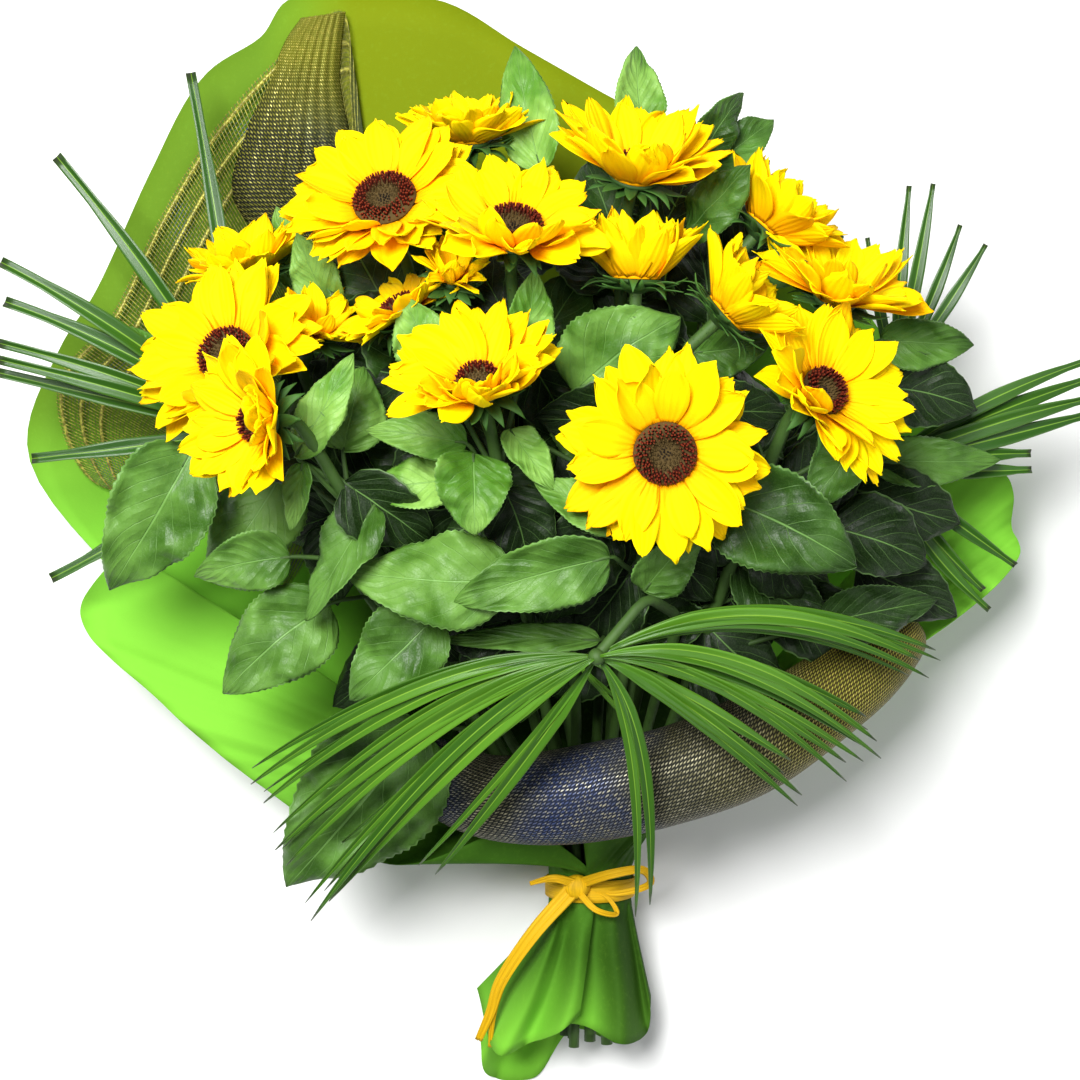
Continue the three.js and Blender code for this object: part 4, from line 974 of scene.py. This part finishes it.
def leaf(shape, ends, width, roll, start, leaves, cells, draw, tone):
    """A leaf between two points, with teeth, buckles between its veins and a stalk from the stem."""
    root, tip = ends
    middle = root.lerp(tip, 0.5)
    middle.z += width * 0.3
    curve, heading = bent(root, middle, tip)
    seed, lean = Vector((draw(0, 90), draw(0, 90), 0)), draw(-0.06, 0.06)
    folds, twist, hang = (draw(-0.1, 0.7), draw(-0.1, 0.7)), draw(-34, 34), draw(0.0, 0.3)
    rows = cells[1]

    def place(side, along):
        across, face = blade_frame(heading(min(along, 0.999)), roll + twist * (along - 0.35))
        row, far = round(along * rows), abs(side)
        toothed = far > 0.99 and 2 < row < rows - 1
        tooth = 1 + leaves.tooth * ((row % 2) * 2 - 1) if toothed else 1
        half = width / 2 * leaf_outline(along) * tooth
        wave = 0.06 * width * sin(5 * along + (1 if side > 0 else -1)) * far**1.5
        large = rough(seed, side * 1.5, along * 4.4, 0) * 0.2
        small = rough(seed, side * 4, along * 11, 5) * 0.06
        buckle = (large + small) * width * min(1, far + 0.15)
        frill = 0.03 * width * sin(19 * along + 3 * side + seed.x) * far**4
        vee = (folds[side > 0] * far**1.3 - (0.06 + hang * along) * side * side) * half
        run = abs((along * VEINS - far * VEIN_LEAN) % 1 - 0.5) * 2
        quilt = 0.014 * width * sin(pi * far) * (1 - run**3) * min(1, along * 6) * (1 - along**4)
        droop = wave + buckle * sin(pi * min(1, along + 0.08)) + frill + vee + quilt
        aside = side * half + lean * width * sin(pi * along)
        return curve(along) + across * aside + face * droop

    patch(shape, cells, place, 2, leaves.leaf_thick / MM, tone)
    stalk = through([start, start.lerp(root, 0.5) - UP * 1.5, root, curve(0.12)])
    tube(shape, stalk, lambda at: 2.0 - 1.1 * at, 7, 10)


# Leaves get painted light up by the heads and painted shade low down and far to the right.
SHADE_BELOW, LIT_ABOVE = -40, 30  # heights in the picture
LIT_TO, SHADE_FROM = 60, 110  # places to the right in it


def lit_share(tip):
    """How much painted light a leaf's green gets: most beside the heads, painted shade low down or at the
    right.
    """
    near_heads = min(1, max(0, (tip[1] - SHADE_BELOW) / (LIT_ABOVE - SHADE_BELOW)))
    at_right = min(1, max(0, (tip[0] - LIT_TO) / (SHADE_FROM - LIT_TO)))
    return (0.35 + 0.65 * near_heads) * (1 - 0.75 * at_right)


def low_leaves(shape, index, way, leaves, draw):
    """Pairs of smaller leaves down the stem, each pair turned by the golden angle from the last."""
    (x, y), (wide, tall) = LOW_LEAF_HEART
    for i, share in enumerate(LOW_LEAF_SHARES):
        start = stem_point(way, share)
        for side in (0, pi):
            turn = (i + index * 0.7) * GOLDEN_TURN + side
            out = Vector((cos(turn), sin(turn), 0))
            root = start + out * 9 - UP * 5
            tip = root + out * draw(*LOW_LEAF_REACH)
            tip.z -= draw(*LOW_LEAF_DROOP)
            if start.y > LOW_LEAF_FROM and ((tip.x - x) / wide) ** 2 + ((tip.y - y) / tall) ** 2 < 1:
                width, roll = draw(*LOW_LEAF_WIDTH), draw(-12, 12)
                # These leaves get no tone, so painted shade makes them near black.
                leaf(shape, (root, tip), width, roll, start, leaves, INNER_LEAF, draw, 0.0)


# Rings of bracts: count, start (share of the rim), its height, reach past the rim, its height, half width.
BRACT_RINGS = [(13, 0.42, -10.2, 13, -7.5, 4.6), (11, 0.7, -7.4, 18, -4.2, 5)]


def bracts(shape, bloom, head, draw):
    r = max(bloom[3], SMALLEST_RIM)
    for count, start, low, past, high, wide in BRACT_RINGS:
        for i in range(count):
            matrix = head @ Matrix.Rotation(2 * pi * (i + draw(-0.2, 0.2)) / count + low, 4, "Z")
            reach, rise, flare = r + past * draw(0.7, 1.15), high + draw(-2, 1.5), draw(-6, 8)

            def place(side, along):
                out = r * start + (reach - r * start) * along
                half = wide * (1 - along**1.6) * (0.7 + 0.6 * along) + 0.12
                lift = low + (rise - low) * sin(along * pi / 2)
                lift += 0.25 * half * side * side - flare * max(0, along - 0.5) ** 2 * 4
                return matrix @ Vector((out, -side * half, lift))

            patch(shape, (2, 6), place, 1, 0.5, draw(0, 1))


def hairs(shape, curve, radius, first, last, count, draw):
    """Short stiff hairs round a stem between two shares of its length."""
    for _ in range(count):
        share = draw(first, last)
        heading, aside = course(curve, share)
        out = Quaternion(heading, draw(0, 2 * pi)) @ aside
        long = draw(1.6, 3.0)
        turn = UP.rotation_difference((out + heading * draw(-0.3, 0.3)).normalized()).to_matrix().to_4x4()
        middle = Matrix.Translation(curve(share) + out * (radius + long * 0.45))
        cone(shape, 3, *HAIR, long, middle @ turn)


HAIRS = 90
HAIR = (0.16, 0.03)  # radius at its foot and at its tip
HAIRY = (0.72, 0.97)  # shares of the stem between which they stand


def stem_piece(index, bloom, leaves, finishes):
    name, disc = bloom[0], bloom[3]
    draw = random.Random(300 + index).uniform
    shape = new_shape()
    way = bloom_way(bloom)
    head = head_matrix(bloom)
    r = max(disc, SMALLEST_RIM)
    stem_tube(shape, way, STEM_RADIUS, 0)
    hairs(shape, rounded(way), STEM_RADIUS * 0.95, *HAIRY, HAIRS, draw)
    low = -CALYX_DEPTH
    cup = [(0, low - 1), (4.2, low - 0.6), (0.55 * r + 2, -9), (0.9 * r, -6), (r, -3.4), (0, -3.4)]
    lathe(shape, cup, 20, head, 1, 0.3)
    bracts(shape, bloom, head, draw)
    # Inner leaves keep a tenth of the tone: painted shade, near black, inside the bunch.
    for leaves_of, cells, fresh in ((LEAVES, FINE_LEAF, 1.0), (INNER_LEAVES, INNER_LEAF, 0.1)):
        for share, root, tip, width, roll in leaves_of.get(name, []):
            ends, start = (seen(root), seen(tip)), stem_point(way, share)
            tone = fresh * lit_share(tip) * draw(0.6, 1.0)
            leaf(shape, ends, width, roll, start, leaves, cells, draw, tone)
    low_leaves(shape, index, way, leaves, draw)
    return finished(f"{name}_leafy_stem", shape, finishes, "leafy_stem", f"{name}_stem")


# ---- palm ----


# Width of the cut ends of leaflets, by their own width.
SQUARE_TIPS = {"palm_left_fan": 0.62, "palm_right_fan": 0.45, "palm_right_blades": 0.4}
SPLIT_FROND = "palm_front_fan"  # its leaflets are split in two, a wide part and a narrow one
SPLIT_APART = 11  # how far the tips of the two parts lie from each other
HUB_KNOB = [(0, -7), (3.6, -5.5), (5, -2), (5, 2), (3, 5), (0, 6)]


def leaflet_width(along):
    return min(1, 0.2 + along * 2.7) * min(1, ((1.004 - along) / 0.42) ** 0.55)


def leaflet(shape, points, width, square, palms, draw):
    """A pleated blade from its hub, over a point, to its tip; square: the width its cut end keeps."""
    curve, heading = bent(*points)
    half, pleat, sway, seed = width / 2, draw(0.25, 0.5), draw(-2, 2), draw(0, 9)

    def place(side, along):
        across, face = blade_frame(heading(min(along, 0.999)), 14 * sin(seed + 2 * along))
        wide = half * max(leaflet_width(along), square if along > 0.5 else 0)
        ripple = 0.5 * sin(seed + 11 * along) * side
        aside = side * wide + sway * sin(pi * along)
        return curve(along) + across * aside + face * (pleat * wide * (abs(side) - 0.5) + ripple)

    patch(shape, (6, 30), place, 0, palms.leaflet_thick / MM, draw(0, 0.25) if square else draw(0, 1))


def frond_piece(index, frond, palms, finishes):
    name, slot, hub, rise, width, leaflets = frond
    draw = random.Random(400 + index).uniform
    shape = new_shape()
    way = stem_way(slot, lambda tied: [*map(seen, rise), seen(hub)])
    stem_tube(shape, way, PALM_STEM_RADIUS, 1)
    knob = Matrix.Translation(seen(hub))
    lathe(shape, HUB_KNOB, 14, knob, 1)
    square = SQUARE_TIPS.get(name, 0)
    hub = seen(hub)
    for i, (tip, over) in enumerate(leaflets):
        lift = Vector((0, 0, ((i % LEAFLET_LAYERS) - (LEAFLET_LAYERS - 1) / 2) * LEAFLET_STAGGER))
        away, end = seen(over) + lift, seen(tip) + lift
        flat = Vector((away.x - hub.x, away.y - hub.y, 0)).normalized()
        start = hub + lift + flat * 2
        broad = draw(1.0, 1.3) if square else draw(0.8, 1.05)
        leaflet(shape, (start, away, end), width * broad, square, palms, draw)
        if name == SPLIT_FROND:
            aside = flat.cross(UP) * SPLIT_APART * draw(0.6, 1.2) - UP * 2.5
            points = start, away + aside * 0.4, end + aside
            leaflet(shape, points, width * draw(0.5, 0.75), square, palms, draw)
    return finished(f"{name}_leaflets", shape, finishes, "palm_frond", name)


# ---- wrap, mesh and ribbon ----


def wrap_surface(spec):
    """A function from (across, along), both 0 to 1, to the wrap's middle surface."""
    name, arc, belly, sag, folds, depth, rows, edge, hem = spec
    lap = PANEL_LAP if name == "wrap_right_panel" else 0
    edge, hem = through([seen(p) for p in edge]), through([seen(p) for p in hem])
    waist = slot_place(2, 2)

    def at(across, along):
        row = along * rows
        below = row < TAIL_CELLS + 0.5
        out = max(0, 1 - row / TAIL_CELLS if below else (row - TAIL_CELLS - 1) / (rows - TAIL_CELLS - 1))
        turn = radians(arc[0] + (arc[1] - arc[0]) * across)
        radius = WRAP_WAIST + WRAP_THICK / 2 + lap * min(1, max(0, across * 8 - 7))
        run = TIE_HALF * min(max((row - TAIL_CELLS) * 2 - 1, -1), 1)
        start = Vector((waist.x + radius * cos(turn), waist.y + run, waist.z + radius * sin(turn)))
        end = hem(across) if below else edge(across)
        towards = start.copy()
        towards.y += copysign((start - end).length * belly, end.y - start.y)
        if not below:
            towards.z = start.z + PANEL_RISE if sag is None else sag
        point = bent(start, towards, end)[0](out)
        point.z += depth * sin(2 * pi * folds * across) * sin(pi * out * 0.7)
        return point, out

    return at


TAIL_FOLDS = 1.6  # soft folds of a sheet below the tie
TAIL_FOLD_DEPTH = 6
CLOTH_CELLS = (110, 70)


def cloth_wrap(index, spec, wrapping, finish):
    name, arc = spec[0], spec[1]
    at = wrap_surface(spec)
    seed = Vector((7.3 * index, 2.1, 0))
    gathers = (arc[1] - arc[0]) / 18
    tail = TAIL_CELLS / spec[6]

    def place(side, along):
        across = (side + 1) / 2
        point, out = at(across, along)
        near = exp(-((out / 0.2) ** 2)) * min(1, out * 12)
        gather = 2 * pi * gathers * across + 2 * rough(seed, 0, along * 4, 0)
        point.z += 1.2 * sin(gather) * near
        crease = rough(seed, across * 9, out * 1.6, 0)
        fine = rough(seed, across * 22, out * 3, 4)
        creased = 3.4 * crease + 1.6 * fine if along > tail else 1.2 * crease
        point.z += creased * min(1, out * 2)
        if along < tail:
            drift = 2.5 * rough(seed, across * 2, out * 2, 9)
            point.z += TAIL_FOLD_DEPTH * sin(2 * pi * TAIL_FOLDS * across + drift + index) * out
        point.z = max(point.z, 0.35)
        return point

    shape = new_shape()
    patch(shape, CLOTH_CELLS, place)
    piece = finished(name.replace("wrap", "cloth_wrap"), shape, [finish], "wrap", name)
    thickness = piece.modifiers.new("thickness", "SOLIDIFY")
    thickness.thickness, thickness.offset = wrapping.wrap_thick, 0
    return piece


class MAKE_OT_petals(bpy.types.Operator):
    """Makes the ray petals of every head, in three loose layers"""

    bl_idname = "sunflowers.petals"
    bl_label = "Petals"

    def execute(self, context):
        heads = context.scene.sunflower_heads
        finish = petal_finish(heads)
        for index, bloom in enumerate(BLOOMS):
            petals_piece(index, bloom, heads, finish)
        return {"FINISHED"}


class MAKE_OT_florets(bpy.types.Operator):
    """Makes the discs of florets of the open heads"""

    bl_idname = "sunflowers.florets"
    bl_label = "Florets"

    def execute(self, context):
        heads = context.scene.sunflower_heads
        finish = floret_finish(heads)
        for index, bloom in enumerate(BLOOMS):
            if bloom[3]:
                floret_piece(index, bloom, heads, finish)
        return {"FINISHED"}


class MAKE_OT_stems(bpy.types.Operator):
    """Makes the stems with their green cups, bracts and leaves"""

    bl_idname = "sunflowers.stems"
    bl_label = "Leafy stems"

    def execute(self, context):
        leaves = context.scene.sunflower_leaves
        finishes = [stem_finish(leaves), bract_finish(leaves), leaf_finish(leaves)]
        for index, bloom in enumerate(BLOOMS):
            stem_piece(index, bloom, leaves, finishes)
        return {"FINISHED"}


class MAKE_OT_palms(bpy.types.Operator):
    """Makes the palm fronds with their pleated leaflets"""

    bl_idname = "sunflowers.palms"
    bl_label = "Palm fronds"

    def execute(self, context):
        palms = context.scene.palm_fronds
        finishes = [leaflet_finish(palms), stem_finish(context.scene.sunflower_leaves)]
        for index, frond in enumerate(FRONDS):
            frond_piece(index, frond, palms, finishes)
        return {"FINISHED"}


class MAKE_OT_wrap(bpy.types.Operator):
    """Makes the three sheets of non-woven wrap"""

    bl_idname = "sunflowers.wrap"
    bl_label = "Wrap"

    def execute(self, context):
        wrapping = context.scene.bunch_wrapping
        finish = wrap_finish(wrapping)
        for index, spec in enumerate(WRAPS):
            piece = cloth_wrap(index, spec, wrapping, finish)
        return {"FINISHED"}


def dropped_on(spec):
    """A function that drops a seen place onto the wrap's fine surface and lifts it back towards the eye."""
    at = wrap_surface(spec)
    shape = new_shape()
    patch(shape, (80, 60), lambda side, along: at((side + 1) / 2, along)[0])
    tree = BVHTree.FromBMesh(shape)
    shape.free()
    eye = Vector((-MIDDLE.x, -MIDDLE.y, EYE_HEIGHT))

    def drop(point, lift):
        way = (point - eye).normalized()
        hit = tree.ray_cast(eye, way)[0]
        if hit is None:
            raise RuntimeError("the mesh reaches past the wrap")
        return hit - way * lift

    return drop


def flat_curve(places):
    return through([seen((*place, READING_HEIGHT)) for place in places])


def mesh_sheet_surface(drop):
    foot, edge = flat_curve(MESH_FOOT), flat_curve(MESH_EDGE)

    def at(across, along):
        wave = 1 + sin(2 * pi * MESH_FOLDS * across + 3 * along)
        lift = (MESH_LIFT + MESH_FOLD_DEPTH * wave) * min(1, 3 * along)
        return drop(foot(across).lerp(edge(across), along), lift)

    return at


class MAKE_OT_mesh(bpy.types.Operator):
    """Weaves the gold and blue mesh: the sheet over the wrap and the roll across the front"""

    bl_idname = "sunflowers.mesh"
    bl_label = "Woven mesh"

    def execute(self, context):
        wrapping = context.scene.bunch_wrapping
        self.weave_sheet(wrapping)
        self.wind_roll(wrapping)
        return {"FINISHED"}

    def weave_sheet(self, wrapping):
        drop = dropped_on(WRAPS[0])
        at = mesh_sheet_surface(drop)
        pitch = wrapping.thread_pitch / MM
        shape = new_shape()
        wide, long = MESH_CUT
        for count, width, run, cells in [(wide, ROW_THREAD, 1, 26), (long, CROSS_THREAD, 0, 90)]:
            threads = round(count / pitch)
            for i in range(threads):
                middle = (i + 0.5) / threads
                half = width / count / 2

                def thread(side, along):
                    off = middle + side * half
                    return at(off, along) if run else at(along, off)

                patch(shape, (1, cells), thread, 0, 0.25, tone=0.9 if run else 0.2)

        for i in range(MESH_SELVEDGES):
            middle = 1 - (0.02 + 0.075 * i)

            def selvedge(side, along):
                return at(along, middle + side * 0.007)

            patch(shape, (1, 110), selvedge, 0, 0.4, tone=1.0)

        left, right = flat_curve(MESH_PEAK_LEFT), flat_curve(MESH_PEAK_RIGHT)

        def peak(side, along):
            low, high = left(along), right(along)
            bulge = sqrt(max(0, 1 - side * side)) * (low - high).length * MESH_PEAK_PUFF
            pleat = 0.9 * sin(24 * side + 2 * along) * (1 - along * 0.5)
            return drop(low.lerp(high, (side + 1) / 2), MESH_LIFT + bulge + pleat)

        patch(shape, (60, 60), peak, 1, 0.5)
        weave = (0, 150 / pitch), (66 / pitch, 0)
        tints = (0.15, 0.15, 0.02), (0.05, 0.08, 0.06), (0.5, 0.46, 0.12), (0.15, 0.16, 0.008)
        puffed = rolled_finish("puffed_mesh", wrapping, weave, tints, (0.82, 0.56))
        finishes = [thread_finish(wrapping), puffed]
        piece = finished("woven_mesh_sheet", shape, finishes, "woven_mesh", "mesh_sheet")
        wide, long = wide * MM, long * MM

    def wind_roll(self, wrapping):
        curve = through([seen(p) for p in ROLL_PATH])
        shape = new_shape()

        def thick(along):
            swell = sin(pi * min(max(along, 0), 1)) ** 0.5
            radius = ROLL_END_RADIUS + (ROLL_RADIUS - ROLL_END_RADIUS) * swell
            return radius * (1 + 0.02 * sin(23 * along))

        tube(shape, curve, thick, 48, 80)
        pitch = wrapping.thread_pitch / MM * 1.25
        weave = (195 / pitch, 0), (0, 460 / pitch)
        tints = (0.14, 0.13, 0.07), (0.04, 0.06, 0.15), (0.45, 0.42, 0.28), (0.04, 0.03, 0.006)
        finish = rolled_finish("rolled_mesh", wrapping, weave, tints, (0.8, 0.45))
        finished("woven_mesh_roll", shape, [finish], "woven_mesh", "mesh_roll")


RIBBON_RADIUS = 28.9  # round the wrap at the tie
RIBBON_TAPER = 0.55  # share of its width that a strip loses up to its end
KNOT = (22, -208, 68)
KNOT_HALF = (9, 8, 6)
BAND_HALF = 5.4
BAND_LEAN = 0.06
RIBBON_STRIPS = [
    ([(24, -206, 70), (44, -200, 84), (62, -198, 80), (66, -206, 70), (46, -212, 64), (26, -209, 66)], 7),
    ([(22, -210, 70), (34, -222, 78), (46, -224, 72), (40, -214, 66), (26, -209, 66)], 4.5),
    ([(24, -207, 70), (8, -203, 76), (-6, -206, 70)], 6.5),
    ([(20, -209, 70), (-4, -236, 74), (-24, -266, 66), (-30, -284, 60), (-37, -300, 52)], 11),
    ([(-22, -262, 67), (-28, -284, 58), (-30, -304, 48)], 6),
]


class MAKE_OT_ribbon(bpy.types.Operator):
    """Ties the flat ribbon with its knot, loops and ends"""

    bl_idname = "sunflowers.ribbon"
    bl_label = "Ribbon"

    def execute(self, context):
        wrapping = context.scene.bunch_wrapping
        shape = new_shape()
        waist = slot_place(2, 2)
        for turn in range(2):
            lean = BAND_LEAN * (1 - 2 * turn)

            def band(side, along):
                angle = 2 * pi * along
                radius = RIBBON_RADIUS + 0.5 + 0.4 * turn
                y = side * BAND_HALF + lean * radius * sin(angle)
                return waist + Vector((radius * cos(angle), y, radius * sin(angle)))

            patch(shape, (4, 60), band, 0, 0.4, closed=True)
        knot = seen(KNOT)

        def tied(across, along):
            turn, rise = pi * (across + 1), pi * along
            wide = sin(rise) * (1 + 0.08 * sin(5 * turn))
            across = wide * cos(turn), -cos(rise), -wide * sin(turn)
            return knot + Vector(half * share for half, share in zip(KNOT_HALF, across))

        patch(shape, (20, 12), tied, 0, closed=True)
        for points, width in RIBBON_STRIPS:
            curve = through([seen(p) for p in points])

            def strip(side, along, curve=curve, width=width):
                across, face = blade_frame(course(curve, along)[0], 0)
                crease = 0.6 * cos(2.5 * pi * side + 4 * along)
                return curve(along) + across * side * width / 2 * (1 - RIBBON_TAPER * along) + face * crease

            patch(shape, (8, 36), strip, 0, 0.35)
        finished("ribbon_bow", shape, [ribbon_finish(wrapping)], "ribbon", "ribbon_tie")
        return {"FINISHED"}


class MAKE_OT_stage(bpy.types.Operator):
    """Sets the pale floor, the studio lights and the camera"""

    bl_idname = "sunflowers.stage"
    bl_label = "Stage"

    def execute(self, context):
        scene, studio = context.scene, context.scene.studio
        shape = bmesh.new()
        bmesh.ops.create_grid(shape, x_segments=1, y_segments=1, size=FLOOR_HALF)
        mesh = bpy.data.meshes.new("pale_floor")
        shape.to_mesh(mesh)
        shape.free()
        paper = Finish("pale_paper", Roughness=0.9)
        tint = paper.mix(paper.grain(paper.place(), 3), studio.floor, shade(studio.floor, 1.02))
        paper.feed("Base Color", tint)
        mesh.materials.append(paper.material)
        floor = bpy.data.objects.new("pale_floor", mesh)
        scene.collection.objects.link(floor)
        for name, power, (size, place) in [
            ("key_light", studio.key, KEY_LIGHT), ("fill_light", studio.fill, FILL_LIGHT),
        ]:
            data = bpy.data.lights.new(name, "AREA")
            data.energy, data.size = power, size
            light = bpy.data.objects.new(name, data)
            light.location = place
            light.rotation_euler = (-Vector(place)).to_track_quat("-Z", "Y").to_euler()
            scene.collection.objects.link(light)
        world = bpy.data.worlds.new("pale_room")
        world.use_nodes = True
        back = world.node_tree.nodes["Background"]
        back.inputs[0].default_value, back.inputs[1].default_value = (0.93, 0.96, 1.0, 1), studio.sky
        scene.world = world
        lens = bpy.data.cameras.new("camera")
        lens.lens = LENS
        camera = bpy.data.objects.new("camera", lens)
        camera.location = (-MIDDLE.x * MM, -MIDDLE.y * MM, EYE_HEIGHT * MM)
        scene.collection.objects.link(camera)
        scene.camera = camera
        scene.view_settings.view_transform = "Standard"
        return {"FINISHED"}


STEPS = [
    MAKE_OT_petals, MAKE_OT_florets, MAKE_OT_stems, MAKE_OT_palms, MAKE_OT_wrap, MAKE_OT_mesh,
    MAKE_OT_ribbon, MAKE_OT_stage,
]
SETTINGS = {
    "sunflower_heads": SunflowerHeads,
    "sunflower_leaves": SunflowerLeaves,
    "palm_fronds": PalmFronds,
    "bunch_wrapping": BunchWrapping,
    "studio": Studio,
}


class VIEW3D_PT_sunflowers(bpy.types.Panel):
    """Lists the steps that build the bunch"""

    bl_label = "Bunch of sunflowers"
    bl_space_type = "VIEW_3D"
    bl_region_type = "UI"
    bl_category = "Sunflowers"

    def draw(self, context):
        for step in STEPS:
            self.layout.operator(step.bl_idname)
        for name, group in SETTINGS.items():
            box = self.layout.box()
            for key in group.__annotations__:
                box.prop(getattr(context.scene, name), key)


def register():
    for group in (*SETTINGS.values(), *STEPS, VIEW3D_PT_sunflowers):
        bpy.utils.register_class(group)
    for name, group in SETTINGS.items():
        setattr(bpy.types.Scene, name, bpy.props.PointerProperty(type=group))


def unregister():
    for name in SETTINGS:
        delattr(bpy.types.Scene, name)
    for group in (VIEW3D_PT_sunflowers, *reversed(STEPS), *reversed(SETTINGS.values())):
        bpy.utils.unregister_class(group)


def main():
    register()
    for step in STEPS:
        group, name = step.bl_idname.split(".")
        getattr(getattr(bpy.ops, group), name)()
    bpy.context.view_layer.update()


if __name__ == "__main__":
    main()
